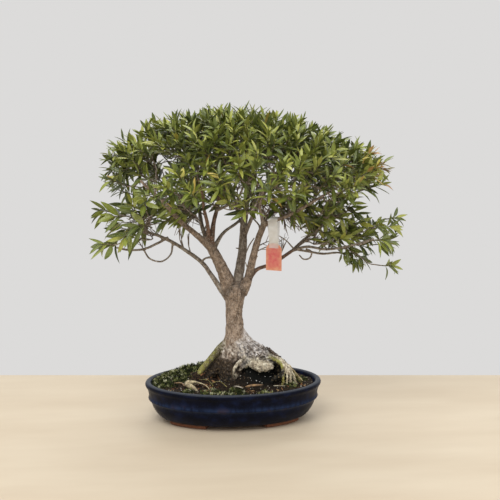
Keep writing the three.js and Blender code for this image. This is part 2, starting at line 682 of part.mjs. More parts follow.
function strapGeometry() {
  const outer = STRAP_LOOP_HALF_DEPTH + STRAP_THICKNESS;
  const inner = STRAP_LOOP_HALF_DEPTH;
  const legInner = LABEL_THICKNESS / 2 + GAP;
  const legOuter = legInner + STRAP_THICKNESS;
  const crown = STRAP_LOOP_TOP - inner;
  const band = new THREE.Shape();
  const foot = -STRAP_FOOT_DROP;
  const waist = -LABEL_TOP_DROP;
  const shoulder = -STRAP_SHOULDER_DROP;
  band.moveTo(-legOuter, foot).lineTo(-legOuter, waist).lineTo(-outer, shoulder).lineTo(-outer, crown);
  band.absarc(0, crown, outer, Math.PI, 0, true);
  band.lineTo(outer, shoulder).lineTo(legOuter, waist).lineTo(legOuter, foot);
  band.lineTo(legInner, foot).lineTo(legInner, waist).lineTo(inner, shoulder).lineTo(inner, crown);
  band.absarc(0, crown, inner, 0, Math.PI, false);
  band.lineTo(-inner, shoulder).lineTo(-legInner, waist).lineTo(-legInner, foot);
  const options = { depth: STRAP_WIDTH, bevelEnabled: false, curveSegments: 6 };
  const geometry = new THREE.ExtrudeGeometry(band, options);
  geometry.translate(0, 0, -STRAP_WIDTH / 2);
  geometry.rotateX(Math.PI / 2);
  geometry.rotateZ(Math.PI / 2);
  return hungOnBranch(geometry);
}

function labelGeometry() {
  const half = LABEL_WIDTH / 2;
  const springing = -LABEL_TOP_DROP - LABEL_ARCH;
  const plate = new THREE.Shape();
  plate.moveTo(-half, -LABEL_BOTTOM_DROP).lineTo(half, -LABEL_BOTTOM_DROP).lineTo(half, springing);
  plate.absellipse(0, springing, half, LABEL_ARCH, 0, Math.PI, false);
  const geometry = new THREE.ExtrudeGeometry(plate, {
    depth: LABEL_THICKNESS, bevelEnabled: false, curveSegments: 6,
  });
  geometry.translate(0, 0, -LABEL_THICKNESS / 2);
  geometry.rotateX(Math.PI / 2);
  return hungOnBranch(geometry);
}

// The room that the tag takes up, from a little over its loop to a little under its plate
function tagRoom() {
  const rooms = [];
  for (let drop = -TAG_ROOM_OVER; drop < LABEL_BOTTOM_DROP + TAG_ROOM_OVER; drop += TAG_ROOM_STEP) {
    const point = new THREE.Vector3(TAG.x, TAG.y, TAG.branchHeight - drop);
    rooms.push({ point, room: LABEL_WIDTH / 2 + 2, owner: 'tag', along: 1 });
  }
  return rooms;
}

// Assembly

const bonsai = new THREE.Group();
bonsai.position.copy(POT_OFFSET);

function place(name, geometry, material) {
  const mesh = new THREE.Mesh(geometry, material);
  mesh.name = name;
  bonsai.add(mesh);
}

place('pot', geometryOf(potSolid()), GLAZE);
place('drain_screen_left', geometryOf(screenSolid(-DRAIN_SPACING / 2)), SCREEN_PLASTIC);
place('drain_screen_right', geometryOf(screenSolid(DRAIN_SPACING / 2)), SCREEN_PLASTIC);
place('soil', geometryOf(soilSolid(joined(rootSolids(GAP)))), EARTH);

const limbs = [
  ...THICK_LIMBS,
  ...BRANCHES.map((places) => limbOf(places, places[0][3] > FINE_BRANCH ? 5 : 4, BRANCH_STEP)),
];
const buds = limbs.flatMap((limb) => budsAlong(limb, BUDS_START.limb));
const taken = [...tagRoom(), ...limbs.flatMap((limb) => limbRoom(limb, 'wood'))];
const random = seededRandom(SPRAY_SEED);
const sprays = sprayPlaces().map((sprayPlace, i) => {
  const grown = grownSpray(sprayPlace, buds, taken, i, random);
  buds.push(...budsAlong(grown.twig, BUDS_START.twig));
  return grown;
});
const twigs = sprays.map(({ twig }) => twig);
const wood = [...rootSolids(0), ...[...limbs, ...twigs].map((limb) => limbSolid(limb))];
place('tree', geometryOf(joined(wood)), BARK);

sprays.forEach(({ shoot }, i) => {
  const leaves = shootLeaves(shoot, i, taken, random);
  const spray = joined([limbSolid(shoot), ...leaves.map((leaf) => solidOf(leafGeometry(leaf)))]);
  place(`spray_${String(i + 1).padStart(2, '0')}`, geometryOf(spray), LEAF_GREEN);
});

place('tag_strap', strapGeometry(), CLEAR_PLASTIC);
place('tag_label', labelGeometry(), LABEL_PINK);

export default bonsai;
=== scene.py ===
from functools import partial
import json
import math
import random

import bmesh
import bpy
import numpy as np
from mathutils import Matrix, Vector, kdtree, noise

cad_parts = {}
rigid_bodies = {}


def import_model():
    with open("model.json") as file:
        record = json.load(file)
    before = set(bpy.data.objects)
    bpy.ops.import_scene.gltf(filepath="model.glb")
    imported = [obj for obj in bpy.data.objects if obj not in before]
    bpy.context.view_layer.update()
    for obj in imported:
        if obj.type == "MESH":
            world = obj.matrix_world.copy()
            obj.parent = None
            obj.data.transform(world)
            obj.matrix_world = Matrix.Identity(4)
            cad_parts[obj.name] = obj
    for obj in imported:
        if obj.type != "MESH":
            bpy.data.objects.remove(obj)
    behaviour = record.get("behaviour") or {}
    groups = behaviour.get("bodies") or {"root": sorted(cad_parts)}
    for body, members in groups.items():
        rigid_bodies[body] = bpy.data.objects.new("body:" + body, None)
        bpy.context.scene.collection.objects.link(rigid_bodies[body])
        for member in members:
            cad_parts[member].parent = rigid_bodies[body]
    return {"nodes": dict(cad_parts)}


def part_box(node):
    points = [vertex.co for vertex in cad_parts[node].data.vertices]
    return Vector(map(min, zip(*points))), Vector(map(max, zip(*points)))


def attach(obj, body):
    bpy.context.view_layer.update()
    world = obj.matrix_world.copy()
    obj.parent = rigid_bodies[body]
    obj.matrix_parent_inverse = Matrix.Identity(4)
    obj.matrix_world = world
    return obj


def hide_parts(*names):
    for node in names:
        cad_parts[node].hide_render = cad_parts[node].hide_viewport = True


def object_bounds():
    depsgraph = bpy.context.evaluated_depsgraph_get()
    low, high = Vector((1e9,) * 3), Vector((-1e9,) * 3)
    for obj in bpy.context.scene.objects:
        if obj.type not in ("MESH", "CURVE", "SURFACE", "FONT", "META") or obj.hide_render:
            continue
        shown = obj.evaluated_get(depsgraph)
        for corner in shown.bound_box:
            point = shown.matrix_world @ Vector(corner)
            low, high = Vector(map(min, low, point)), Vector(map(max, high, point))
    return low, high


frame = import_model()
CAD_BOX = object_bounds()

MM = 0.001
POT_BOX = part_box("pot")
POT_CENTRE = (POT_BOX[0] + POT_BOX[1]) / 2
ORIGIN = np.array([POT_CENTRE.x, POT_CENTRE.y, 0.0])
SEED = 2428
GOLDEN_ANGLE = math.pi * (3 - math.sqrt(5))

# Pot: (half length, height) up the outside and down the inside. Its oval is this much less in half width.
POT_NARROWING = 42
POT_OUTER_WALL = [
    (99, 5), (103, 6), (106.5, 8.6), (110.5, 13.5), (114.3, 20), (117.2, 27.6), (118.6, 29.8), (120.4, 31),
    (120.9, 32.6), (120.3, 34.4), (120, 37), (120.8, 41.5), (122.4, 46.6), (123.9, 49), (124.9, 51),
    (124.9, 53), (124, 54.8), (122.4, 55.8), (120.8, 56),
]
POT_INNER_WALL = [(118.6, 55.6), (117, 54.4), (116, 52), (115, 48), (109, 26), (98, 14), (93, 12)]
POT_SIDES = 180
# Inside this half length the oval narrows evenly to its middle
POT_FLOOR_MIDDLE = 60
POT_FLOOR_HEIGHTS = (5, 12)
# The belt, whose glaze runs thin and takes a painted highlight, and the top of the rim, which a painted
# highlight greys: their heights
BELT_HEIGHTS = (30, 34.6)
LIP_HEIGHTS = (54, 55.6)
CLAY_TOP = 5.6
FOOT_ARCS = [(0.45, 1.13), (-1.13, -0.45), (math.pi - 1.13, math.pi - 0.45), (math.pi + 0.45, math.pi + 1.13)]
FOOT_RADII = (86, 100)
FOOT_HEIGHT = 5
DRAIN_RADIUS = 7
DRAIN_SPACING = 90

# Soil
SOIL_EDGE = 50
SOIL_REACH = 114.6
SOIL_BOTTOM = 12.4
SOIL_SIDE = [(93, SOIL_BOTTOM), (98, 14.4), (108.6, 26), (SOIL_REACH, 48)]
SOIL_RINGS = 74
SOIL_SIDES = 220
SOIL_MOUNDS = [
    (16, -2, 48, 34, 10), (44, -15, 22, 12, 19), (-70, 10, 26, 22, 3), (-62, 34, 24, 15, 13),
    (20, -18, 14, 9, 14), (72, -26, 14, 12, 6), (-36, 30, 19, 13, 15), (-51, -4, 16, 11, 16),
    (-90, 14, 16, 18, 8),
]
# The soil under the roots' arch, which is lumpier and darkened nearly black by painted shade: (x, y, how
# wide, how deep)
ARCH_FLOOR = (40, -17, 30, 17)

# Round patches on the soil: (x, y, radius)
MOSS_PATCHES = [
    (-82, 22, 34), (-60, 46, 30), (-98, -4, 18), (-20, 58, 26), (24, 60, 26), (70, 44, 28), (96, 6, 11),
    (78, -30, 10), (-34, -52, 15), (-2, -60, 16), (-66, -44, 9), (40, -62, 12),
]
LITTER_PATCHES = [(-40, -6, 26), (-78, -32, 13), (-36, -34, 16), (60, -44, 18), (92, -22, 14), (12, -50, 14)]

# Dry bits that lie on the soil: colour and (x, y, z, radius) places
FALLEN_BITS = [
    ("#b08d63", [(13, -46, 57.5, 0.7), (20, -48, 59.5, 1.6), (29, -49, 60.5, 1.4), (37, -50, 61, 0.5)]),
    ("#d9d4c8", [(-2, -43, 58, 0.7), (4, -48, 58.5, 0.9), (9, -52, 57.5, 0.6)]),
    ("#c9b98a", [(78, -12, 78, 1), (88, -18, 66, 0.9), (96, -22, 57, 0.7)]),
    ("#a8a05a", [(-34, -20, 55, 0.5), (-22, -32, 62, 0.4), (-12, -46, 58, 0.3)]),
    ("#8c9048", [(-30, -28, 54, 0.5), (-38, -30, 64, 0.4), (-50, -34, 66, 0.3)]),
    ("#9a7c58", [(-84, -14, 56, 0.8), (-74, -22, 58, 0.9), (-70, -30, 56, 0.6)]),
    ("#8a6a4a", [(-30, -2, 57, 0.7), (-40, 4, 59, 0.8), (-52, 6, 58, 0.5)]),
    ("#33271f", [(46, -10, 104, 0.8), (51, -12, 99.5, 2.2), (56, -14, 96, 2), (60, -14, 94, 0.7)]),
    ("#3d2c20", [(50, -10, 103, 0.6), (54, -16, 97, 1.8), (62, -18, 91.5, 1.6), (66, -18, 92, 0.6)]),
    ("#cfc6ad", [(52, -46, 58, 0.6), (60, -50, 59, 0.7), (68, -48, 58, 0.5)]),
]

# Wood. A limb's places give its radius there too: (x, y, z, radius).
TRUNK = [
    (0, 1, 36, 20), (-1, 0, 60, 19), (-2, 0, 86, 17.5), (0, 0, 108, 14.5), (2, 0, 128, 12.8),
    (1, 0, 152, 11.8), (2, 0, 173, 13.5), (2, 0, 185, 14), (3, 1, 195, 6),
]
TAN_LIMBS = [
    [(-4, 1, 180, 11), (-10.5, -1, 203, 9.6), (-20, -3, 225, 8), (-32, -7, 248, 6.4)],
    [(11, -2, 180, 9), (20, -6, 200, 6.4), (26, -10, 228, 5.3), (33, -16, 257, 4.6), (42, -20, 281, 4)],
    [(-30, -6, 244, 6), (-49, -16, 263, 4.3), (-72, -28, 284, 3.6), (-92, -40, 308, 2.9),
     (-125, -55, 342, 1.8)],
    [(41, -20, 278, 3.8), (52, -26, 284, 3), (75, -39, 294, 2.6), (102, -53, 312, 2.1), (137, -66, 334, 1.6)],
    [(36, -17, 267, 3.4), (45, -6, 287, 2.7), (66, 5, 297, 2.4), (100, 27, 312, 2), (145, 54, 336, 1.6)],
]
RED_LIMBS = [
    [(-31, -6, 247, 4.6), (-27, 0, 280, 3.2), (-20, 8, 306, 2.7), (-16, 12, 340, 2.1), (-20, 18, 382, 1.6)],
    [(-35, -8, 254, 3.8), (-36, -16, 278, 2.8), (-41, -30, 300, 2.3), (-44, -46, 322, 1.9),
     (-50, -72, 345, 1.6)],
    [(22, -8, 203, 4.4), (33, -4, 214, 2.9), (55, 3, 220, 2.8), (72, 7, 230, 2.6), (88, 11, 240, 2.4)],
]
GREY_LIMBS = [
    [(5, 1, 183, 9), (8.5, 7, 205, 7), (14.5, 17, 240, 6.2), (17, 25, 276, 5), (22, 28, 309, 3.8),
     (24, 26, 350, 2.4), (26, 22, 384, 1.6)],
    [(-34, -6, 250, 4.2), (-42, 12, 271, 3), (-46, 40, 296, 2.5), (-55, 67, 323, 2.1), (-66, 88, 346, 1.6)],
    [(-24, 4, 296, 2.6), (-10, -12, 304, 2), (2, -32, 313, 1.8), (10, -66, 336, 1.6)],
    [(-29, -5, 242, 4), (-13, 11, 264, 2.4), (8, 27, 277, 2.2), (30, 52, 295, 1.9), (49, 88, 321, 1.6)],
    [(-8, 4, 172, 5), (-29, 15, 202, 3.4), (-42, 21, 220, 3.1), (-65, 28, 237, 2.8), (-84, 31, 249, 2.5),
     (-104, 29, 259, 2.3), (-119, 24, 266, 2), (-126, 18, 284, 1.6)],
    [(-90, 31, 256, 2), (-106, 27, 248, 1.9), (-125, 21, 241, 1.8), (-146, 15, 241, 1.7),
     (-162, 12, 245, 1.6)],
    [(-114, 26, 263, 2), (-134, 20, 267, 1.8), (-148, 13, 276, 1.6)],
    [(-84, 31, 246, 1.8), (-87, 28, 232, 1.5), (-100, 22, 223, 1.4), (-117, 20, 228, 1.4),
     (-124, 21, 239, 1.5)],
    [(17, 22, 258, 3.6), (24, 14, 277, 2.8), (32, 0, 299, 2.3), (42, -20, 323, 1.9), (52, -42, 347, 1.6)],
    [(41, -20, 277, 3.4), (37, -27, 292, 2.6), (33, -42, 305, 2.2), (35, -80, 334, 1.6)],
    [(86, 11, 239, 2.4), (102, 14, 253, 2.2), (126, 21, 270, 1.9), (150, 29, 291, 1.7), (174, 34, 314, 1.6)],
    [(85, 11, 238, 2.4), (104, 4, 244, 2.1), (130, -10, 242, 1.9), (162, -24, 249, 1.7),
     (192, -32, 259, 1.6)],
    [(88, 10, 240, 2), (109, 11, 236, 1.8), (128, 9, 233, 1.7), (150, 4, 235, 1.6), (166, -1, 231, 1.5)],
    [(-30, -3, 232, 2), (-38, 8, 229, 1.5), (-42, 19, 224, 1.8)],
]
DEAD_STUBS = [
    [(15, 17, 239, 1.6), (9, 15, 241, 1.1), (5, 14, 242, 0.7)],
    [(24, -9, 212, 1.6), (19, -11, 218, 1.1), (16, -13, 226, 0.6)],
    [(27, -11, 232, 1.5), (33, -14, 234, 0.8)],
    [(15, 18, 228, 1.4), (18, 14, 233, 1.1), (23, 4, 247, 0.9), (29, -3, 258, 0.8)],
    [(104, 10, 240, 1.5), (112, 10, 236, 1.2), (110, 11, 227, 1.2), (101, 12, 225, 1.1), (95, 12, 231, 0.9)],
    [(86, 11, 241, 1.2), (76, 7, 252, 0.9), (63, 5, 261, 0.8)],
]

WOOD_VOXEL = 1.15

# Roots, by the colour of their skin
ROOT_HOODS = [
    (23, -3, 91.5, 25, 20, 14, 0.33), (45, -3, 83.5, 21, 18, 12.5, 0.55), (64, -6, 71, 12, 12, 9.5, 0.8),
]
PALE_ROOTS = [
    [(6, -9, 112, 6), (14, -15, 101, 5.5), (22, -19, 94, 5), (16, -22, 86, 3.6), (8, -24, 79, 2.6)],
    [(14, -4, 112, 6), (27, -13, 103, 5.5), (42, -18, 95, 5), (54, -20, 88, 4), (63, -24, 81, 3)],
    [(22, 3, 109, 5.6), (39, -3, 101, 5), (57, -5, 91, 4.5), (71, -8, 79, 3.6), (82, -10, 67, 3)],
    [(24, 9, 105, 6), (42, 10, 95, 5), (60, 9, 82, 4), (74, 8, 65, 3.4), (80, 8, 48, 3)],
    [(50, -33, 60, 2.4), (56, -35, 66, 3.4), (63, -35, 70, 3), (68, -33, 75, 2)],
    [(8, 0, 126, 7.5), (15, -1, 115, 8.5), (27, -3, 102, 9)],
    [(0, 8, 100, 8), (-8, 24, 80, 6.5), (-14, 38, 64, 5), (-20, 50, 46, 4)],
    [(10, 6, 98, 8), (34, 18, 84, 6), (52, 30, 66, 5), (60, 38, 44, 4)],
]
CREAM_ROOTS = [
    [(16, -14, 92, 4.6), (24, -23, 86, 6.6), (32, -27, 82, 8), (42, -27, 81, 8), (52, -24, 80, 5)],
    [(20, -17, 93, 3), (11, -22, 90, 2.7), (3, -25, 83, 2.7), (-1, -26, 76, 2.5), (0, -22, 68, 2.2),
     (4, -14, 62, 2)],
    [(46, -10, 92, 4), (58, -20, 91, 2.7), (67, -26, 86, 2.2), (72, -29, 76, 2.1), (73, -31, 62, 2),
     (72, -31, 46, 2)],
    [(50, -8, 92, 4), (64, -18, 88, 2.7), (73, -24, 80, 2.2), (77.5, -27, 69, 2.1), (78.5, -28, 57, 2),
     (79, -28, 46, 2)],
    [(56, -4, 89, 4.6), (69, -10, 82, 3), (79, -17, 73, 2.3), (84.5, -21, 61, 2.1), (87, -22, 44, 2)],
    [(34, -20, 88, 2.6), (22, -23, 84, 2.3), (12, -24, 79, 2), (6, -22, 74, 1.8)],
    [(-12, -4, 46, 5), (-30, -9, 43, 4), (-44, -11, 48, 3.6), (-54, -14, 54.5, 3.8), (-65, -19, 57, 4),
     (-66, -27, 57, 3.8), (-58, -33, 54, 3.2), (-50, -38, 44, 2.4)],
    [(-62, -17, 58, 2), (-50, -24, 58.5, 1.3), (-39, -31, 55, 1.1), (-32, -36, 44, 1)],
]
GREEN_ROOTS = [
    [(-4, 0, 112, 6.6), (-18, -1, 103, 5.2), (-29, -2, 90, 4.8), (-41, -3, 77, 4.4), (-50, -4, 64, 3.8),
     (-55, -5, 46, 3)],
    [(40, -14, 92, 4), (52, -22, 91.5, 2.8), (62, -28, 86, 2.3), (66.5, -31, 76, 2.1), (67, -33, 64, 2.1),
     (66, -33, 46, 2)],
    [(54, 0, 89, 5), (70, -1, 79.5, 3.4), (82, -5, 69, 2.4), (92, -10, 57, 2), (98, -13, 44, 1.8)],
]
MOSSY_ROOTS = [
    [(-6, 4, 96, 9), (-20, 6, 78, 10), (-34, 8, 60, 9), (-44, 10, 46, 7)],
]
BARK_TINTS = {
    "tan": "#a99684", "grey": "#b0a699", "red": "#8f6e5a", "pale": "#d8d6d6", "cream": "#ebe4cd",
    "green": "#a3a352", "shoot": "#5f5a34", "twig": "#a2968a", "mossy": "#4a3f2c",
}
# The scarred bark where the trunk meets its roots, and the rotted brown bark under it
SCAR_TINT = "#e6e0d6"
FOOT_TINT = "#583c22"
# Roots whose skin stays clean where moss and soil cling to the others
CLEAN_ROOTS = ("cream", "green")

# Crown: its outline from the front as (x, height), and its reach in plan
CROWN_TOP = [
    (-186, 345), (-178, 372), (-168, 388), (-152, 400), (-128, 406), (-118, 420), (-96, 430), (-62, 438),
    (-26, 443), (22, 446), (68, 436), (87, 429), (109, 423), (132, 414), (146, 402), (163, 401), (180, 391),
    (203, 375), (216, 360), (226, 340),
]
CROWN_MIDDLE = 20
CROWN_HALF_LENGTH = 197
CROWN_HALF_DEPTH = 152
CROWN_BASE = 335
CROWN_FULLNESS = 2.4
CROWN_ROOT = (18, 0, 250)

# Tips of the shoots under the crown, at its two ends and in its two lower pads: (x, y, z)
UNDERSIDE = [
    (-95, 10, 302), (-84, -6, 320), (-70, 24, 298), (-104, -20, 324), (-62, -16, 324), (-80, 44, 310),
    (-52, 10, 330), (70, -30, 322), (88, 20, 302), (104, -24, 302), (122, -6, 298), (75, 40, 312),
    (60, -10, 330), (142, -20, 302), (-12, 20, 326), (24, -30, 330), (42, 30, 322), (150, 30, 312),
    (-120, 30, 318), (-28, -34, 328), (15, -26, 303), (-42, -34, 312), (50, -40, 314), (-22, 30, 310),
    (84, -44, 298), (-66, 40, 296), (112, 36, 296), (0, 50, 312), (-90, -40, 306), (30, 60, 306),
    (-68, -12, 287), (-84, 22, 291), (-98, -22, 284), (-56, 6, 300), (-74, -34, 296), (-120, 32, 288),
    (104, -22, 284), (118, 12, 277), (134, -20, 264), (137, 22, 281), (148, 2, 270), (92, 4, 290),
    (126, -36, 292), (156, -30, 284), (72, 12, 300), (176, -8, 292), (164, 16, 300),
]
LEFT_END = [
    (-118, -4, 410), (-106, 12, 416), (-126, 8, 401), (-158, 0, 382), (-170, 6, 352), (-166, -14, 374),
    (-162, 10, 341), (-152, 40, 330), (-160, -30, 346), (-150, 14, 392),
]
RIGHT_END = [(214, 0, 352), (208, -18, 363), (206, 20, 342), (198, 8, 374), (196, -30, 352), (176, 4, 384)]
LEFT_PAD = [
    (-166, 6, 290), (-170, 14, 247), (-155, 12, 280), (-138, -8, 306), (-128, 20, 298), (-108, 16, 294),
    (-146, 40, 300), (-134, 54, 268), (-120, -34, 312), (-150, -20, 262),
]
RIGHT_PAD = [
    (203, -18, 278), (221, -20, 275), (218, -16, 253), (182, -8, 278), (184, -18, 246), (170, -4, 234),
    (134, -14, 262), (109, 10, 284), (131, 22, 287), (163, 4, 272), (147, 36, 292), (162, -28, 312),
    (176, 30, 262), (204, 24, 272), (92, -30, 316), (120, -40, 300), (173, -8, 222), (182, -10, 228),
    (160, -4, 230), (150, -20, 258), (158, 10, 264), (140, 2, 254), (126, -12, 256), (116, 10, 264),
    (172, 2, 256), (188, -14, 260),
]

# Openings in the crown, seen from the front: (x, height, half width, half height)
SKY_GAPS = [
    (-100, 366, 22, 20), (-55, 345, 16, 12), (52, 350, 18, 13), (92, 345, 17, 12), (8, 338, 15, 9),
    (-142, 338, 15, 12),
]

# Leaves
LEAF_LENGTH = 31
LEAF_WIDTH = 6.8
LEAF_THICKNESS = 0.45
SHOOT_REACH = 34
SPEAR_WIDTH = 2.2
# Leaves keep this far from the walls of the part's box. One that fits less than this share is left out.
WALL_MARGIN = 3
LEAST_FIT = 0.55
# Shoots below this height are in the lower pads. Their leaves are smaller right of one x, and larger left of
# the other.
PAD_TOP = 322
RIGHT_SIDE = 60
LEFT_TIPS = -120
# Tones run from 0, dark green, past 0.83, the yellowest green, to 1, orange
DARKEST = 0.14
GREENEST = 0.83
YOUNG_TONE = 0.16
YELLOW_LEAVES = 0.007
# Where the leaves turn orange: a box given by two corners
RIPE_BOX = ((172, -200, 326), (250, 40, 378))
# A leaf's fold, arch and sideways bend, and its outline as (share of its length, share of its width)
LEAF_SHAPES = [(0.30, 0.10, 0.00), (0.42, 0.24, 0.05), (0.22, 0.05, -0.05), (0.50, 0.40, 0.02)]
BLADE_RINGS = [
    (0.04, 0.12), (0.1, 0.2), (0.2, 0.66), (0.34, 0.96), (0.52, 1.0), (0.7, 0.82), (0.84, 0.5), (0.94, 0.2),
]

# The crown's pieces, and the middle that each gathers its leaves round
SECTORS = {
    "leaves_left_pad": (-158, 12, 272), "leaves_right_pad": (190, -8, 258), "leaves_top": (18, 0, 425),
    "leaves_front_left": (-82, -90, 360), "leaves_front_right": (112, -90, 360),
    "leaves_back_left": (-82, 95, 360), "leaves_back_right": (112, 95, 360),
    "leaves_left_end": (-160, 0, 345), "leaves_right_end": (198, 0, 345), "leaves_inside": (18, 0, 345),
}

# Bare twigs under the crown: how many grow to random places in a box given by two corners
BARE_TWIGS = [
    (40, (-122, -40, 258), (-38, 50, 330)), (66, (52, -46, 250), (150, 54, 322)),
    (34, (-36, -40, 296), (48, 50, 340)), (12, (-150, -10, 252), (-110, 40, 292)),
]

# Rolled new leaves that stand up out of the crown: where each starts and ends
SPEARS = [
    ((13, -4, 430), (23, -6, 448)), ((58, -20, 421), (68, -22, 436)), ((123, -30, 405), (133, -32, 416)),
    ((-14, -10, 433), (-7, -12, 444)), ((96, -4, 421), (100, -6, 433)), ((-152, -20, 384), (-171, -24, 392)),
]

# Tag: the top of its band, how far it is turned, and its sizes
TAG_PLACE = (54, -27, 284.9)
TAG_TURN = -0.5
BAND_WIDTH = 14
BAND_THICKNESS = 0.5
BAND_HALF_LOOP = 4.6
# Down one leg of the band, as (y, z)
BAND_LEG = [(0.8, -38), (0.8, -31), (BAND_HALF_LOOP, -9), (BAND_HALF_LOOP, 1)]
LABEL_HALF_WIDTH = 11.5
LABEL_TOP = -31
LABEL_BOTTOM = -69
LABEL_ARCH = 9.2
LABEL_THICKNESS = 0.8
LABEL_RINGS = (1.0, 0.9, 0.7, 0.4)

# Studio
CAMERA_PLACE = (-85, -1241, 416)
CAMERA_DOWN = 8.0
CAMERA_TURN = -5.0
CAMERA_LENS = 64.8
FLOOR_CORNERS = [(-900, -1200, -0.5), (900, -1200, -0.5), (900, 217, -0.5), (-900, 217, -0.5)]
# Soft lights: name, place, size in metres and watts
LIGHTS = [
    ("key", (-450, -900, 1350), 0.9, 17), ("fill", (900, -700, 800), 1.0, 3),
    ("back", (200, 700, 1300), 0.9, 6),
]
LIGHTS_AIM = (10, 0, 230)
ROOM_COLOUR = "#dcdbda"

rng = random.Random(SEED)


def framed(points):
    """Millimetres in the pot's frame, as metres in the part's frame."""
    return np.asarray(points, float) * MM + ORIGIN


def linear(hex_colour, alpha=1.0):
    """An sRGB hex colour as linear red, green, blue and alpha."""
    channels = [int(hex_colour[i:i + 2], 16) / 255 for i in (1, 3, 5)]
    return [c / 12.92 if c <= 0.04045 else ((c + 0.055) / 1.055) ** 2.4 for c in channels] + [alpha]


def unit(vector):
    vector = np.asarray(vector, float)
    return vector / max(np.linalg.norm(vector), 1e-9)


def between(value, low, high):
    """0 up to low, 1 from high, and even in between. It also runs the other way."""
    return min(1.0, max(0.0, (value - low) / (high - low)))


# Node trees. A mix takes its share and its two colours at inputs 0, 6 and 7 and gives its colour at output 2.
# A range takes its value, the two ends that it comes from and the two that it goes to at inputs 0 to 4.

NOISE = "ShaderNodeTexNoise"
RAMP = "ShaderNodeValToRGB"
MIX = "ShaderNodeMix"
RANGE = "ShaderNodeMapRange"
MATHS = "ShaderNodeMath"
STRETCH = "ShaderNodeMapping"
ATTRIBUTE = "ShaderNodeAttribute"
BUMP = "ShaderNodeBump"
NAMED = "GeometryNodeInputNamedAttribute"
CHANCE = "FunctionNodeRandomValue"
COLOURS = {"data_type": "RGBA"}


def feed(node, inputs):
    """Gives a node's inputs their values or links."""
    for name, value in inputs.items():
        if isinstance(value, bpy.types.NodeSocket):
            node.id_data.links.new(value, node.inputs[name])
        else:
            node.inputs[name].default_value = value


def add(tree, kind, inputs=None, out=None, stops=(), **settings):
    """Adds a node with its settings, inputs and colour stops. Gives back the node, or one of its outputs."""
    node = tree.nodes.new(kind)
    for name, value in settings.items():
        setattr(node, name, value)
    for _ in stops[2:]:
        node.color_ramp.elements.new(0.5)
    for element, (place, colour) in zip(node.color_ramp.elements if stops else (), stops):
        element.position = place
        element.color = linear(colour)
    feed(node, inputs or {})
    return node if out is None else node.outputs[out]


def per_mm(size):
    """The scale of a noise whose lumps are about this many millimetres across."""
    return 1 / (size * MM)


def start_material(name, roughness, **constants):
    """A material with one shader, whose constants are set on its own sockets. Gives back the material, a call
    that adds a node to it, its shader and the place on the piece."""
    material = bpy.data.materials.new(name)
    material.use_nodes = True
    material.node_tree.nodes.clear()
    node = partial(add, material.node_tree)
    shader = node("ShaderNodeBsdfPrincipled", {"Roughness": roughness, "IOR": 1.5})
    for socket, value in constants.items():
        shader.inputs[socket.replace("_", " ")].default_value = value
    node("ShaderNodeOutputMaterial", {"Surface": shader.outputs[0]})
    place = node("ShaderNodeTexCoord", {}, "Object")
    return material, node, shader, place


def skinned(material, shader, colour, height, depth):
    """Feeds a shader its colour, and relief of a depth in mm. Gives back the material."""
    relief = add(shader.id_data, BUMP, {"Height": height, "Distance": depth * MM}, 0)
    feed(shader, {"Base Color": colour, "Normal": relief})
    return material


def layered(node, colour, layers):
    """A colour with others laid over it: (factor, its two ends, how much is laid on at each, the colour)."""
    for factor, low, high, at_low, at_high, top in layers:
        share = node(RANGE, {0: factor, 1: low, 2: high, 3: at_low, 4: at_high}, 0)
        colour = node(MIX, {0: share, 6: colour, 7: linear(top)}, 2, **COLOURS)
    return colour


# Materials

def glaze_material():
    """Cobalt stoneware glaze, dipped and fired: near black. The belt is bluer and browner, partly where the
    glaze runs off it and partly a painted highlight, and a painted highlight greys the top of the rim.
    """
    material, node, shader, place = start_material("cobalt_stoneware_glaze", 0.35, Specular_IOR_Level=0.07)
    edge = node(ATTRIBUTE, {}, "Fac", attribute_name="edge")
    lip_highlight = node(ATTRIBUTE, {}, "Fac", attribute_name="lip_highlight")
    cloud = node(NOISE, {"Vector": place, "Scale": per_mm(14), "Detail": 5}, 0)
    upright = node(STRETCH, {"Vector": place, "Scale": (1, 1, 0.35)}, 0)
    runs = node(NOISE, {"Vector": upright, "Scale": per_mm(5), "Detail": 4}, 0)
    speck = node(NOISE, {"Vector": place, "Scale": per_mm(1.1), "Detail": 2}, 0)
    body = node(RAMP, {0: cloud}, 0, [(0.3, "#040610"), (0.52, "#080c1d"), (0.72, "#101a36")])
    # The belt: bluer, and browner in patches, partly where the glaze runs thin over it and partly a painted
    # highlight
    thin = node(RAMP, {0: runs}, 0, [(0.35, "#10172a"), (0.6, "#22304c")])
    belt_thinned_and_highlit = node(MIX, {0: node(RANGE, {0: edge, 4: 0.7}, 0), 6: body, 7: thin}, 2, **COLOURS)
    brown = node(RANGE, {0: cloud, 1: 0.56, 2: 0.68}, 0)
    belt_browned_and_highlit = node(MATHS, {0: brown, 1: edge}, 0, operation="MULTIPLY")
    # Laid over it: brown patches on the belt, blue specks, and a painted highlight greying the top of the rim
    greyed = layered(node, belt_thinned_and_highlit, [
        (belt_browned_and_highlit, 0, 1, 0, 0.6, "#33272a"), (speck, 0.6, 0.72, 0, 0.5, "#26324c"),
        (lip_highlight, 0, 1, 0, 0.7, "#474b53"),
    ])
    relief = node(NOISE, {"Vector": place, "Scale": per_mm(2.4), "Detail": 3}, 0)
    feed(shader, {"Roughness": node(RANGE, {0: runs, 1: 0.3, 2: 0.7, 3: 0.28, 4: 0.45}, 0)})
    return skinned(material, shader, greyed, relief, depth=0.12)


def clay_material():
    """Bare stoneware clay, where the glaze was wiped off: matte red-brown with sandy grain."""
    material, node, shader, place = start_material("bare_stoneware_clay", 0.85)
    grain = node(NOISE, {"Vector": place, "Scale": per_mm(1.2), "Detail": 4}, 0)
    colour = node(RAMP, {0: grain}, 0, [(0.3, "#4e2f1e"), (0.6, "#74462c"), (0.8, "#946244")])
    return skinned(material, shader, colour, grain, depth=0.2)


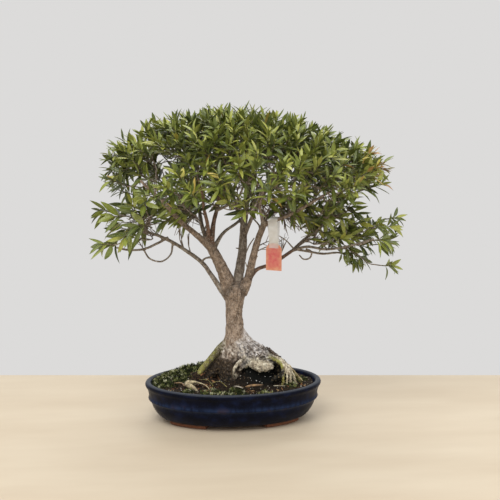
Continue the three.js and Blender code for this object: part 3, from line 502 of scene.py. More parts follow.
def screen_material():
    """Moulded polypropylene net: dull black with fine mould grain."""
    material, node, shader, place = start_material("moulded_net_plastic", 0.55)
    grain = node(NOISE, {"Vector": place, "Scale": per_mm(0.8), "Detail": 2}, 0)
    colour = node(RAMP, {0: grain}, 0, [(0.3, "#232524"), (0.7, "#303331")])
    return skinned(material, shader, colour, grain, depth=0.03)


def soil_material():
    """Damp potting soil: dark crumbs and greener where moss grows, with painted shade making it nearly black
    under the roots' arch.
    """
    material, node, shader, place = start_material("damp_potting_soil", 0.95, Specular_IOR_Level=0.25)
    moss = node(ATTRIBUTE, {}, "Fac", attribute_name="moss")
    shade = node(ATTRIBUTE, {}, "Fac", attribute_name="shade")
    crumb = node(NOISE, {"Vector": place, "Scale": per_mm(2.2), "Detail": 5}, 0)
    earth = node(RAMP, {0: crumb}, 0, [(0.3, "#0e0a07"), (0.5, "#20170f"), (0.68, "#3f3020")])
    felt = node(RAMP, {0: crumb}, 0, [(0.3, "#14180a"), (0.55, "#2c3413"), (0.75, "#4b5624")])
    ground = node(MIX, {0: moss, 6: earth, 7: felt}, 2, **COLOURS)
    # Painted shade: the soil turns nearly black under the roots' arch
    colour = layered(node, ground, [(shade, 0, 0.9, 0, 1, "#050604")])
    return skinned(material, shader, colour, crumb, depth=0.9)


def toned_material(name, stops, size, depth):
    """Small natural bits, dry and matte, each with its own tone. The grain's size and depth are in mm."""
    material, node, shader, place = start_material(name, 0.85, Specular_IOR_Level=0.25)
    tone = node(ATTRIBUTE, {}, "Fac", attribute_name="tone")
    grain = node(NOISE, {"Vector": place, "Scale": per_mm(size), "Detail": 3}, 0)
    own = node(RAMP, {0: tone}, 0, stops)
    grey = node(RAMP, {0: grain}, 0, [(0.3, "#7a7a7a"), (0.7, "#ffffff")])
    colour = node(MIX, {0: 0.5, 6: own, 7: grey}, 2, blend_type="MULTIPLY", **COLOURS)
    return skinned(material, shader, colour, grain, depth)


def bark_material():
    """Ficus bark: thin, dry and matte, mottled tan and grey, with fine upright cracks and pale corky dots.
    Wet moss and soil darken it round the roots."""
    material, node, shader, place = start_material("thin_ficus_bark", 0.82, Specular_IOR_Level=0.35)
    tint = node(ATTRIBUTE, {}, "Color", attribute_name="tint")
    soiled = node(ATTRIBUTE, {}, "Fac", attribute_name="soiled")
    upright = node(STRETCH, {"Vector": place, "Scale": (1, 1, 0.25)}, 0)
    streaky = node(STRETCH, {"Vector": place, "Scale": (1, 1, 0.28)}, 0)
    mottle = node(NOISE, {"Vector": place, "Scale": per_mm(5), "Detail": 5}, 0)
    fine = node(NOISE, {"Vector": place, "Scale": per_mm(0.9), "Detail": 3}, 0)
    cracks = node(NOISE, {"Vector": upright, "Scale": per_mm(1.3), "Detail": 4}, 0)
    streaks = node(NOISE, {"Vector": streaky, "Scale": per_mm(3.4), "Detail": 4}, 0)
    crumbs = node(NOISE, {"Vector": place, "Scale": per_mm(2.6), "Detail": 4}, 0)
    shade = node(RAMP, {0: mottle}, 0, [(0.3, "#8d857d"), (0.5, "#dcd6cf"), (0.66, "#ffffff")])
    toned = node(MIX, {0: 1.0, 6: tint, 7: shade}, 2, blend_type="MULTIPLY", **COLOURS)
    dotted = layered(node, toned, [
        (cracks, 0.53, 0.66, 0, 0.75, "#4a3b30"), (streaks, 0.52, 0.62, 0, 0.5, "#5b4a3c"),
        (fine, 0.56, 0.68, 0, 0.6, "#d6ccc0"),
    ])
    dirt = node(RAMP, {0: crumbs}, 0, [
        (0.3, "#070805"), (0.5, "#14140b"), (0.6, "#33281a"), (0.7, "#7a6a4c"),
    ])
    relief = node(MATHS, {0: mottle, 1: cracks}, 0, operation="SUBTRACT")
    colour = node(MIX, {0: soiled, 6: dotted, 7: dirt}, 2, **COLOURS)
    return skinned(material, shader, colour, relief, depth=0.6)


def leaf_material():
    """Living ficus leaf: leathery and waxy, olive green above with a pale midrib, duller below."""
    material, node, shader, place = start_material(
        "waxy_ficus_leaf", 0.34, Specular_IOR_Level=0.6, Coat_Weight=0.14)
    tone = node(ATTRIBUTE, {}, "Fac", attribute_name="tone")
    blade = node(ATTRIBUTE, {}, "Vector", attribute_name="blade")
    along, across, upper = node("ShaderNodeSeparateXYZ", {0: blade}).outputs
    green = node(RAMP, {0: tone}, 0, [
        (0.0, "#1e2707"), (0.25, "#3f4c12"), (0.5, "#6d7925"), (0.7, "#959d3e"), (0.86, "#aeaf4b"),
        (0.95, "#bfb046"), (1.0, "#b07a3c"),
    ])
    patch = node(NOISE, {"Vector": place, "Scale": per_mm(6), "Detail": 3}, 0)
    patched = node(RAMP, {0: patch}, 0, [(0.3, "#8d8d80"), (0.7, "#ffffff")])
    varied = node(MIX, {0: 0.35, 6: green, 7: patched}, 2, blend_type="MULTIPLY", **COLOURS)
    aside = node(MATHS, {0: across}, 0, operation="ABSOLUTE")
    slant = node(MATHS, {0: aside, 1: -0.12, 2: along}, 0, operation="MULTIPLY_ADD")
    waves = node(MATHS, {0: slant, 1: 110.0}, 0, operation="MULTIPLY")
    veins = node(MATHS, {0: waves}, 0, operation="SINE")
    veined = layered(node, varied, [
        (aside, 0.05, 0.16, 0.5, 0, "#98a04f"), (veins, 0.6, 1, 0, 0.16, "#8c9644"),
    ])
    dull = node(MIX, {0: 0.35, 6: green, 7: linear("#626c3c")}, 2, **COLOURS)
    upper_side = node(RANGE, {0: upper, 1: -0.2, 2: 0.2}, 0)
    feed(shader, {"Roughness": node(RANGE, {0: upper, 1: -0.2, 2: 0.2, 3: 0.6, 4: 0.34}, 0)})
    colour = node(MIX, {0: upper_side, 6: dull, 7: veined}, 2, **COLOURS)
    return skinned(material, shader, colour, veins, depth=0.08)


def film_material():
    """Clear polythene band, clouded by the weather: milky and half see-through."""
    material, node, shader, place = start_material("weathered_clear_polythene", 0.3, Alpha=0.5)
    cloud = node(NOISE, {"Vector": place, "Scale": per_mm(7), "Detail": 3}, 0)
    ripples = node(NOISE, {"Vector": place, "Scale": per_mm(3), "Detail": 2}, 0)
    colour = node(RAMP, {0: cloud}, 0, [(0.3, "#f0ede5"), (0.7, "#ffffff")])
    return skinned(material, shader, colour, ripples, depth=0.1)


def label_material():
    """Pink plastic plate, sun-faded: redder in the middle and orange towards its edges."""
    material, node, shader, place = start_material("faded_pink_plastic", 0.45)
    rim = node(ATTRIBUTE, {}, "Fac", attribute_name="rim")
    blotch = node(NOISE, {"Vector": place, "Scale": per_mm(4), "Detail": 4}, 0)
    middle = node(RAMP, {0: blotch}, 0, [(0.3, "#d9605f"), (0.55, "#e07a70"), (0.75, "#dd9076")])
    worn = node(RAMP, {0: blotch}, 0, [(0.3, "#dd8a6c"), (0.7, "#e7a984")])
    colour = node(MIX, {0: rim, 6: middle, 7: worn}, 2, **COLOURS)
    return skinned(material, shader, colour, blotch, depth=0.05)


def floor_material():
    """Pale matte tabletop."""
    material, node, shader, place = start_material("pale_tabletop", 0.6)
    lengthwise = node(STRETCH, {"Vector": place, "Scale": (0.25, 1, 1)}, 0)
    grain = node(NOISE, {"Vector": lengthwise, "Scale": per_mm(60), "Detail": 4}, 0)
    feed(shader, {"Base Color": node(RAMP, {0: grain}, 0, [(0.3, "#c6b69e"), (0.7, "#cfc1aa")])})
    return material


# Meshes

def smooth_route(places, step):
    """Points about a step apart on the smooth curve through (x, y, z, radius) places."""
    knots = np.array(places, float)
    controls = [2 * knots[0] - knots[1], *knots, 2 * knots[-1] - knots[-2]]
    stretches = []
    for around in zip(controls, controls[1:], controls[2:], controls[3:]):
        lengths = [np.linalg.norm((b - a)[:3]) for a, b in zip(around, around[1:])]
        times = np.cumsum([0, *np.sqrt(lengths)])
        count = max(1, round(lengths[1] / step))
        t = np.linspace(times[1], times[2], count, endpoint=False)[:, None]
        layer = list(around)
        for spans in (((0, 1), (1, 2), (2, 3)), ((0, 2), (1, 3)), ((1, 2),)):
            layer = [
                ((times[high] - t) * first + (t - times[low]) * second) / (times[high] - times[low])
                for (low, high), first, second in zip(spans, layer, layer[1:])
            ]
        stretches.append(layer[0])
    return np.vstack([*stretches, knots[-1:]])


def tube(route, sides):
    """Corners and faces of a closed tube along a route of (x, y, z, radius) points."""
    centres, radii = route[:, :3], route[:, 3]
    ways = np.gradient(centres, axis=0)
    across = unit(np.cross(ways[0], (0.31, 0.87, 0.38)))
    angles = np.arange(sides) * 2 * math.pi / sides
    rings = []
    for centre, radius, way in zip(centres, radii, ways):
        way = unit(way)
        across = unit(across - across.dot(way) * way)
        ring = np.outer(np.cos(angles), across) + np.outer(np.sin(angles), np.cross(way, across))
        rings.append(centre + radius * ring)
    tip = centres[-1] + 0.6 * radii[-1] * unit(ways[-1])
    points = np.vstack([*rings, centres[0], tip])
    first, last = len(points) - 2, len(points) - 1
    top = (len(rings) - 1) * sides
    faces = [face for low in range(0, top, sides) for face in band(low, low + sides, sides)]
    for j in range(sides):
        k = (j + 1) % sides
        faces.append((first, k, j))
        faces.append((last, top + j, top + k))
    return points, faces


def ellipsoid(x, y, z, across, deep, high, tilt, sides=24, bands=14):
    """Corners and faces of a tilted ellipsoid."""
    turn = np.array(Matrix.Rotation(tilt, 3, "Y"))
    points = [(0, 0, 1)]
    for i in range(1, bands):
        level = math.pi * i / bands
        for j in range(sides):
            angle = 2 * math.pi * j / sides
            ring = math.sin(level)
            points.append((ring * math.cos(angle), ring * math.sin(angle), math.cos(level)))
    points.append((0, 0, -1))
    return np.array(points) * (across, deep, high) @ turn.T + (x, y, z), closed_faces(bands - 1, sides)


def band(low, high, sides):
    """The faces between two rings of corners, by the first corner of each."""
    pairs = [(j, (j + 1) % sides) for j in range(sides)]
    return [(low + j, low + k, high + k, high + j) for j, k in pairs]


def closed_faces(rings, sides):
    """The faces of a body whose corners are a first point, rings of corners and a last point."""
    last = rings * sides + 1
    faces = []
    for j in range(sides):
        k = (j + 1) % sides
        faces += [(0, 1 + j, 1 + k), (last, last - sides + k, last - sides + j)]
        for low in range(1, last - sides, sides):
            faces.append((low + j, low + sides + j, low + sides + k, low + k))
    return faces


def joined(parts):
    """Several (points, faces) as one."""
    points, faces, start = [], [], 0
    for part_points, part_faces in parts:
        points.append(part_points)
        faces.extend(tuple(start + corner for corner in face) for face in part_faces)
        start += len(part_points)
    return np.vstack(points), faces


def piece_of(name, points, faces, material, smooth=True):
    """An object at the origin whose mesh holds points given in the pot's frame."""
    mesh = bpy.data.meshes.new(name)
    mesh.from_pydata(framed(points).tolist(), [], faces)
    mesh.validate()
    mesh.polygons.foreach_set("use_smooth", [smooth] * len(mesh.polygons))
    if material:
        mesh.materials.append(material)
    piece = bpy.data.objects.new(name, mesh)
    bpy.context.scene.collection.objects.link(piece)
    return piece


def set_attribute(piece, name, kind, values):
    """Stores one value for each corner point."""
    field = {"FLOAT": "value", "INT": "value", "FLOAT_VECTOR": "vector", "FLOAT_COLOR": "color"}[kind]
    attribute = piece.data.attributes.new(name, kind, "POINT")
    attribute.data.foreach_set(field, np.asarray(values, np.float64 if kind != "INT" else np.int32).ravel())


def tinted_piece(name, colours, solids, material):
    """Several solids as one piece, each with its own colour."""
    piece = piece_of(name, *joined(solids), material)
    tints = [linear(colour) for colour, (points, _) in zip(colours, solids) for _ in points]
    set_attribute(piece, "tint", "FLOAT_COLOR", tints)
    return piece


def plain(piece):
    """Turns a piece with modifiers into a plain mesh."""
    evaluated = piece.evaluated_get(bpy.context.evaluated_depsgraph_get())
    mesh = bpy.data.meshes.new_from_object(evaluated)
    old = piece.data
    piece.modifiers.clear()
    piece.data = mesh
    bpy.data.meshes.remove(old)
    return piece


def recalculated(piece):
    """Turns a closed mesh's faces outwards."""
    work = bmesh.new()
    work.from_mesh(piece.data)
    bmesh.ops.recalc_face_normals(work, faces=work.faces)
    work.to_mesh(piece.data)
    work.free()


def belongs(piece, slot, *nodes):
    """Puts a finished piece on the part's root body and hides the nodes that it stands for. Its slot is not
    used.
    """
    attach(piece, "root")
    if nodes:
        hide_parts(*nodes)
    return piece


# Pot

def oval_width(radius):
    """Half the oval's width where half its length is the given radius."""
    middle = POT_FLOOR_MIDDLE
    return radius - POT_NARROWING if radius > middle else radius * (middle - POT_NARROWING) / middle


def oval_point(radius, angle, height):
    return radius * math.cos(angle), oval_width(radius) * math.sin(angle), height


def oval_turned(profile, sides):
    """Corners and faces of a profile of (radius, height) turned round the oval, from radius 0 to radius 0."""
    points = [(0, 0, profile[0][1])]
    for radius, height in profile[1:-1]:
        points.extend(oval_point(radius, 2 * math.pi * j / sides, height) for j in range(sides))
    points.append((0, 0, profile[-1][1]))
    return np.array(points), [(first, *rest[::-1]) for first, *rest in closed_faces(len(profile) - 2, sides)]


def foot(start, end, steps=20):
    """Corners and faces of one foot, with softened edges, between two angles."""
    inner, outer = FOOT_RADII
    section = [
        (inner, FOOT_HEIGHT + 1), (inner, 1), (inner + 1, 0), (outer - 2, 0), (outer - 0.6, 0.6), (outer, 2),
        (outer, FOOT_HEIGHT + 1),
    ]
    count = len(section)
    points = []
    for i in range(steps + 1):
        angle = start + (end - start) * i / steps
        points.extend(oval_point(radius, angle, height) for radius, height in section)
    end = steps * count
    faces = [face for low in range(0, end, count) for face in band(low, low + count, count)]
    return np.array(points), [*faces, range(count - 1, -1, -1), range(end, end + count)]


def fine_profile(profile, step):
    """A smooth (radius, height) line through a profile."""
    route = smooth_route([(radius, 0, height, 1) for radius, height in profile], step)
    return [(point[0], point[2]) for point in route]


def drilled(piece, x):
    """Cuts a drain hole through a piece."""
    bpy.ops.mesh.primitive_cylinder_add(vertices=40, radius=DRAIN_RADIUS * MM, depth=30 * MM)
    drill = bpy.context.object
    drill.data.transform(Matrix.Translation(framed((x, 0, 8))))
    cut = piece.modifiers.new("drain", "BOOLEAN")
    cut.operation = "DIFFERENCE"
    cut.solver = "EXACT"
    cut.object = drill
    plain(piece)
    bpy.data.objects.remove(drill)


def make_pot(glaze, clay):
    low, high = POT_FLOOR_HEIGHTS
    wall = fine_profile(POT_OUTER_WALL + POT_INNER_WALL, step=1.2)
    profile = [(0, low), (POT_FLOOR_MIDDLE, low), *wall, (POT_FLOOR_MIDDLE, high), (0, high)]
    body = oval_turned(profile, POT_SIDES)
    pot = piece_of("pot_body", *body, glaze)
    drilled(pot, -DRAIN_SPACING / 2)
    drilled(pot, DRAIN_SPACING / 2)
    heights = np.array([corner.co.z for corner in pot.data.vertices]) / MM
    # Where the belt's bluer glaze and painted highlight lie, and where the painted highlight on the top of
    # the rim lies
    low, high = BELT_HEIGHTS
    set_attribute(pot, "edge", "FLOAT", np.exp(-((heights - (low + high) / 2) / (high - low)) ** 2))
    set_attribute(pot, "lip_highlight", "FLOAT", [between(height, *LIP_HEIGHTS) for height in heights])
    pot.data.materials.append(clay)
    for face in pot.data.polygons:
        face.use_smooth = True
        face.material_index = 1 if face.center.z < CLAY_TOP * MM else 0
    feet = piece_of("pot_feet", *joined([foot(*arc) for arc in FOOT_ARCS]), clay, smooth=False)
    recalculated(feet)
    belongs(pot, "pot_glaze", "pot")
    belongs(feet, "pot_glaze", "pot")


# Soil

def soil_height(x, y):
    """The soil's height at a place: its edge, low waves and its mounds."""
    height = SOIL_EDGE + 1.1 * math.sin(x / 7 + math.sin(y / 9)) * math.cos(y / 8 - x / 23)
    for mound_x, mound_y, wide, deep, high in SOIL_MOUNDS:
        height += high * math.exp(-((x - mound_x) / wide) ** 2 - ((y - mound_y) / deep) ** 2)
    return height


def patch_of(x, y, patches):
    """How far a place lies in some round patches of (x, y, radius), with ragged edges, from 0 to 1."""
    ragged = 0.35 * noise.noise(Vector((x / 9, y / 9, 3.1)))
    best = max(1.3 - math.hypot(x - px, y - py) / radius + ragged for px, py, radius in patches)
    return min(1.0, max(0.0, 3 * best - 0.4))


def under_arch(x, y):
    """How far a place lies under the arch of the roots, from 0 to 1."""
    middle_x, middle_y, wide, deep = ARCH_FLOOR
    return min(1.0, 1.6 * math.exp(-((x - middle_x) / wide) ** 2 - ((y - middle_y) / deep) ** 2))


def make_soil_bed(material):
    top = [(SOIL_REACH * (SOIL_RINGS - i) / SOIL_RINGS, SOIL_EDGE) for i in range(SOIL_RINGS)]
    profile = [(0, SOIL_BOTTOM), *SOIL_SIDE, *top, (0, SOIL_EDGE)]
    points, faces = oval_turned(profile, SOIL_SIDES)
    moss = np.zeros(len(points))
    for i, (x, y, z) in enumerate(points):
        if z < SOIL_EDGE:
            continue
        lumps = 0.9 * noise.fractal(Vector((x / 3.2, y / 3.2, 0)), 1.0, 2.0, 4)
        arch = under_arch(x, y)
        cushions = 2.2 * abs(noise.noise(Vector((x / 11, y / 11, 4)))) + 0.8
        moss[i] = patch_of(x, y, MOSS_PATCHES) * (1 - 0.75 * arch)
        points[i][2] = soil_height(x, y) + lumps * (1 + 3 * arch) + cushions * moss[i]
    bed = piece_of("soil_bed", points, faces, material)
    # Painted shade under the roots' arch, where crumbs also thin out and pale chips gather
    shade = np.array([under_arch(x, y) for x, y, _ in points])
    litter = [patch_of(x, y, LITTER_PATCHES) if z > SOIL_BOTTOM + 30 else 0 for x, y, z in points]
    fields = {
        "moss": moss, "shade": shade, "chips": 0.12 + 0.88 * shade, "litter": litter,
        "surface": points[:, 2] > SOIL_EDGE - 2, "open": 1 - 0.93 * shade,
    }
    for name, values in fields.items():
        set_attribute(bed, name, "FLOAT", values)
    return belongs(bed, "soil", "soil")


def crumb_shape(name, corners_shift, flat):
    """A small angular lump about one across."""
    work = bmesh.new()
    bmesh.ops.create_icosphere(work, subdivisions=1, radius=0.5)
    for corner in work.verts:
        corner.co *= 1 + 0.35 * noise.noise(corner.co * 2.3 + Vector((corners_shift, 0, 0)))
        corner.co.z *= flat
    return shape_from(work, name)


def moss_shape(name, spikes, spread):
    """A tuft of narrow pointed moss leaves about one high."""
    work = bmesh.new()
    for i in range(spikes):
        angle = i * GOLDEN_ANGLE
        lean = spread * (0.35 + 0.65 * i / spikes)
        out = Vector((math.cos(angle), math.sin(angle), 0))
        aside = Vector((-out.y, out.x, 0)) * 0.1
        tip = out * math.sin(lean) + Vector((0, 0, math.cos(lean)))
        middle = tip * 0.5 + Vector((0, 0, 0.06))
        corners = [work.verts.new(c) for c in (middle - aside, middle + aside, tip, Vector((0, 0, -0.05)),
                                               middle - Vector((0, 0, 0.1)))]
        left, right, point, root, keel = corners
        for face in ((left, point, right), (left, right, root), (left, keel, point), (right, point, keel),
                     (left, root, keel), (right, keel, root)):
            work.faces.new(face)
    bmesh.ops.recalc_face_normals(work, faces=work.faces)
    return shape_from(work, name)


def flake_shape(name, curl):
    """A dead leaf flake about one long, curled along its length."""
    work = bmesh.new()
    rows = []
    for i in range(6):
        along = i / 5
        half = 0.17 * math.sin(math.pi * min(0.97, 0.06 + along * 0.92)) + 0.01
        lift = curl * (along - 0.5) ** 2
        rows.append([work.verts.new((along - 0.5, side * half, lift + height)) for side, height in
                     ((-1, 0.06), (0, 0.02), (1, 0.07), (0, -0.03))])
    for low, high in zip(rows, rows[1:]):
        for j in range(4):
            work.faces.new((low[j], low[(j + 1) % 4], high[(j + 1) % 4], high[j]))
    work.faces.new(rows[0])
    work.faces.new(list(reversed(rows[-1])))
    bmesh.ops.recalc_face_normals(work, faces=work.faces)
    return shape_from(work, name)


def shape_from(work, name):
    mesh = bpy.data.meshes.new(name)
    work.to_mesh(mesh)
    work.free()
    return bpy.data.objects.new(name, mesh)


def shape_collection(name, shapes):
    """A collection that only serves the node trees, and is never in the scene."""
    collection = bpy.data.collections.new(name)
    for shape in shapes:
        collection.objects.link(shape)
    return collection


def drop_collection(collection):
    for shape in list(collection.objects):
        bpy.data.objects.remove(shape)
    bpy.data.collections.remove(collection)


def new_tree(name, inputs):
    """A geometry node tree with named inputs: (name, socket kind, value)."""
    tree = bpy.data.node_groups.new(name, "GeometryNodeTree")
    tree.interface.new_socket("Geometry", in_out="INPUT", socket_type="NodeSocketGeometry")
    for label, kind, value in inputs:
        socket = tree.interface.new_socket(label, in_out="INPUT", socket_type=kind)
        socket.default_value = value
    tree.interface.new_socket("Geometry", in_out="OUTPUT", socket_type="NodeSocketGeometry")
    return tree, add(tree, "NodeGroupInput").outputs


def finished(tree, instances, material):
    """Ends a geometry node tree: its instances are made real and given their material."""
    real = add(tree, "GeometryNodeRealizeInstances", {"Geometry": instances}, 0)
    dressed = add(tree, "GeometryNodeSetMaterial", {"Geometry": real, "Material": material}, 0)
    add(tree, "NodeGroupOutput", {"Geometry": dressed})
    return tree


def run_tree(piece, tree, values):
    """Puts a node tree on a piece, sets its named inputs and makes the result a plain mesh."""
    modifier = piece.modifiers.new(tree.name, "NODES")
    modifier.node_group = tree
    for item in tree.interface.items_tree:
        if item.in_out == "INPUT" and item.name in values:
            modifier[item.identifier] = values[item.name]
    return plain(piece)


def scatter_tree(name, shapes, material, where):
    """Instances of small shapes strewn on the soil where an attribute is high, each with its own tone."""
    tree, given = new_tree(name, [
        ("Per square metre", "NodeSocketFloat", 1000.0), ("Smallest", "NodeSocketFloat", 0.001),
        ("Largest", "NodeSocketFloat", 0.002), ("Lean", "NodeSocketFloat", 0.4), ("Seed", "NodeSocketInt", 1),
    ])
    node = partial(add, tree)
    mask = node(NAMED, {"Name": where}, 0, data_type="FLOAT")
    surface = node(NAMED, {"Name": "surface"}, 0, data_type="FLOAT")
    both = node(MATHS, {0: mask, 1: surface}, 0, operation="MULTIPLY")
    density = node(MATHS, {0: both, 1: given["Per square metre"]}, 0, operation="MULTIPLY")
    strewn = node("GeometryNodeDistributePointsOnFaces", {
        "Mesh": given["Geometry"], "Density": density, "Seed": given["Seed"],
    }, "Points")
    size = node(CHANCE, {
        2: given["Smallest"], 3: given["Largest"], "Seed": given["Seed"],
    }, 1, data_type="FLOAT")
    spin = node(CHANCE, {0: (-1, -1, -3.14), 1: (1, 1, 3.14)}, 0, data_type="FLOAT_VECTOR")
    lean = node("ShaderNodeCombineXYZ", {0: given["Lean"], 1: given["Lean"], 2: 1.0}, 0)
    turn = node("ShaderNodeVectorMath", {0: spin, 1: lean}, 0, operation="MULTIPLY")
    tone = node(CHANCE, {2: 0.0, 3: 1.0}, 1, data_type="FLOAT")
    chosen = node("GeometryNodeCollectionInfo", {"Collection": shapes, "Separate Children": True}, 0)
    placed = node("GeometryNodeInstanceOnPoints", {
        "Points": strewn, "Instance": chosen, "Pick Instance": True, "Rotation": turn, "Scale": size,
    }, 0)
    toned = node("GeometryNodeStoreNamedAttribute", {
        "Geometry": placed, "Name": "tone", "Value": tone,
    }, 0, data_type="FLOAT", domain="INSTANCE")
    return finished(tree, toned, material)


def strew(bed, name, shapes, material, where, per_square_metre, smallest, largest, lean, seed):
    """A piece of small things strewn over the soil."""
    piece = bpy.data.objects.new(name, bed.data.copy())
    bpy.context.scene.collection.objects.link(piece)
    collection = shape_collection(name + "_shapes", shapes)
    tree = scatter_tree(name + "_strewn", collection, material, where)
    run_tree(piece, tree, {
        "Per square metre": per_square_metre, "Smallest": smallest * MM, "Largest": largest * MM,
        "Lean": lean, "Seed": seed,
    })
    drop_collection(collection)
    return belongs(piece, "soil", "soil")


def make_ground_cover(bed):
    moss = toned_material("cushion_moss", [
        (0.0, "#12160a"), (0.42, "#2a3112"), (0.64, "#535a26"), (0.8, "#969a5c"), (1.0, "#dddcb8"),
    ], size=1, depth=0.1)
    litter = toned_material("leaf_litter", [
        (0.0, "#3b281b"), (0.4, "#6e4a31"), (0.8, "#9a7350"), (1.0, "#b79a70"),
    ], size=1.5, depth=0.2)
    grit = toned_material("soil_grit", [
        (0.0, "#15100c"), (0.6, "#30251b"), (0.86, "#5c4b39"), (0.92, "#968d7d"), (1.0, "#d6d0c4"),
    ], size=0.8, depth=0.2)
    pumice = toned_material("crushed_pumice", [
        (0.0, "#8f8b74"), (0.5, "#c2bfb2"), (1.0, "#efede6"),
    ], size=0.6, depth=0.1)
    strew(bed, "moss_tufts", [moss_shape("moss_a", 5, 0.9), moss_shape("moss_b", 7, 1.2)], moss, "moss",
          per_square_metre=130000, smallest=1.6, largest=5.4, lean=0.6, seed=3)
    strew(bed, "litter_flakes", [flake_shape("flake_a", 0.5), flake_shape("flake_b", -0.4)], litter, "litter",
          per_square_metre=26000, smallest=3, largest=9, lean=0.6, seed=5)
    strew(bed, "soil_crumbs", [crumb_shape("crumb_a", 0, 0.8), crumb_shape("crumb_b", 5, 0.6)], grit, "open",
          per_square_metre=110000, smallest=0.8, largest=2.4, lean=3, seed=7)
    strew(bed, "pale_chips", [crumb_shape("chip_a", 3, 0.7), crumb_shape("chip_b", 8, 0.5)], pumice, "chips",
          per_square_metre=17000, smallest=0.5, largest=2.1, lean=3, seed=11)


def make_fallen_bits(material):
    colours, routes = zip(*FALLEN_BITS)
    solids = [tube(smooth_route(places, 2), 7) for places in routes]
    belongs(tinted_piece("dry_sticks", colours, solids, material), "soil", "soil")


# Wood

def bark_parts():
    """Every limb and root as (tint, places)."""
    parts = [("tan", TRUNK)]
    for tint, limbs in (("tan", TAN_LIMBS), ("red", RED_LIMBS), ("grey", GREY_LIMBS), ("pale", PALE_ROOTS),
                        ("cream", CREAM_ROOTS), ("green", GREEN_ROOTS), ("mossy", MOSSY_ROOTS)):
        parts.extend((tint, places) for places in limbs)
    return parts


def patchy(x, y, z, wide, tall):
    """Noise from about -1 to 1 whose lumps are about this wide and tall."""
    return noise.noise(Vector((x / wide, y / wide, z / tall)))


def wrinkles(x, y, z):
    """Ridges from 0 to 1 that wrap the hood of the roots."""
    swirl = Vector((x / 6, y / 6, z / 6))
    bent = swirl + 0.8 * Vector((noise.noise(swirl), noise.noise(swirl + Vector((7, 3, 1))), 0))
    return 1 - min(1.0, 4 * abs(noise.noise(bent * 1.7)))


SCARRED = np.array(linear(SCAR_TINT)[:3])
ROTTED = np.array(linear(FOOT_TINT)[:3])


def hood_share(x, z):
    """How much a place belongs to the wrinkled hood of the roots."""
    return between(z, 116, 104) * between(x, 6, 16)


def bark_tint(x, y, z, near, samples):
    """The colour of the wood at a point and how much moss and soil cling to it, from the limbs near it."""
    total, other, mixed = 0.0, 0.0, np.zeros(4)
    for _, index, distance in near:
        limb, _, values, _ = samples[index]
        weight = 1 / (0.4 + distance) ** 2
        total += weight
        other += weight * (limb != samples[near[0][1]][0])
        mixed += weight * values
    colour, clean = mixed[:3] / total, mixed[3] / total
    bare = min(1.0, max(0.0, 1 - clean))
    blotch = patchy(x, y, z, 7, 9)
    flaking = patchy(x, y, z, 3.2, 4)
    ragged = z + 9 * patchy(x, y, z, 4, 4)
    # The hood's wrinkles, with painted shade in their grooves and lighter ridges, and the scars and dark
    # flakes on the trunk's foot beside it
    colour = colour * (1 + hood_share(x, z) * bare * (1.45 * wrinkles(x, y, z) - 0.83))
    foot = between(x, 20, 12) * between(x, -26, -20)
    scarred = foot * between(z, 122, 110) * between(z, 84, 92) * between(blotch, -0.4, 0.1)
    colour = colour + scarred * 0.9 * between(flaking, -0.15, 0.15) * (SCARRED - colour)
    colour = colour * (1 - 0.62 * foot * between(z, 116, 104) * between(flaking, 0.0, -0.2))
    # Clean roots: flaked on the block, darkened by painted shade on the upper part of the left one, and
    # yellower near the soil
    low_root = clean * between(z, 76, 62) * max(between(x, 0, -8), 0.7 * between(x, 58, 64))
    colour = colour * (1 - 0.45 * clean * between(x, 62, 56) * between(flaking, 0.0, -0.3))
    colour = colour * (1 - 0.45 * clean * between(x, -42, -26) * between(x, 0, -8) * between(z, 60, 70))
    colour = colour * (1 - 0.12 * between(z, 190, 225)) * (1, 1 - 0.06 * low_root, 1 - 0.26 * low_root)
    # Upright cracks up the trunk, and dark seams in the fork where limbs meet
    fissure = between(abs(patchy(x, y, z, 3.4, 15)), 0.09, 0.0) * between(z, 118, 180)
    seam = between(other / total, 0.05, 0.35) * between(z, 168, 178) * between(z, 236, 216)
    colour = colour * (1 - 0.6 * fissure * bare) * (1 - 0.6 * seam)
    # The rotted foot, and the moss and soil that cling low down
    brown = between(ragged, 93, 84) * between(x, 14, 6) * bare
    colour = colour + 0.85 * brown * (ROTTED - colour)
    soiled = max(0.75 * brown, between(ragged, 93, 86) * between(x, 6, 14), between(ragged, 72, 60)) * bare
    damp = between(z, 66, 54) * between(blotch, -0.4, 0.4)
    return colour * (1 - 0.4 * damp), soiled


def grown_wood(material):
    """The trunk, limbs and roots melted into one skin, and samples of (limb, radius, colour, place)."""
    solids = []
    samples = []
    for i, (tint, places) in enumerate(bark_parts()):
        route = smooth_route(places, 3)
        sides = 28 if i == 0 else 14
        solids.append(tube(route, sides))
        values = np.array([*linear(BARK_TINTS[tint])[:3], float(tint in CLEAN_ROOTS)])
        radii = np.repeat(route[:, 3], sides)
        samples.extend((i, radius, values, point) for radius, point in zip(radii, solids[-1][0]))
    for hood in ROOT_HOODS:
        solids.append(ellipsoid(*hood))
        values = np.array([*linear(BARK_TINTS["pale"])[:3], 0.0])
        samples.extend((-1, hood[4], values, point) for point in solids[-1][0])
    wood = piece_of("trunk_and_branches", *joined(solids), material)
    remesh = wood.modifiers.new("grown together", "REMESH")
    remesh.mode = "VOXEL"
    remesh.voxel_size = WOOD_VOXEL * MM
    plain(wood)
    smooth = wood.modifiers.new("eased", "SMOOTH")
    smooth.factor = 0.5
    smooth.iterations = 2
    plain(wood)
    return wood, samples


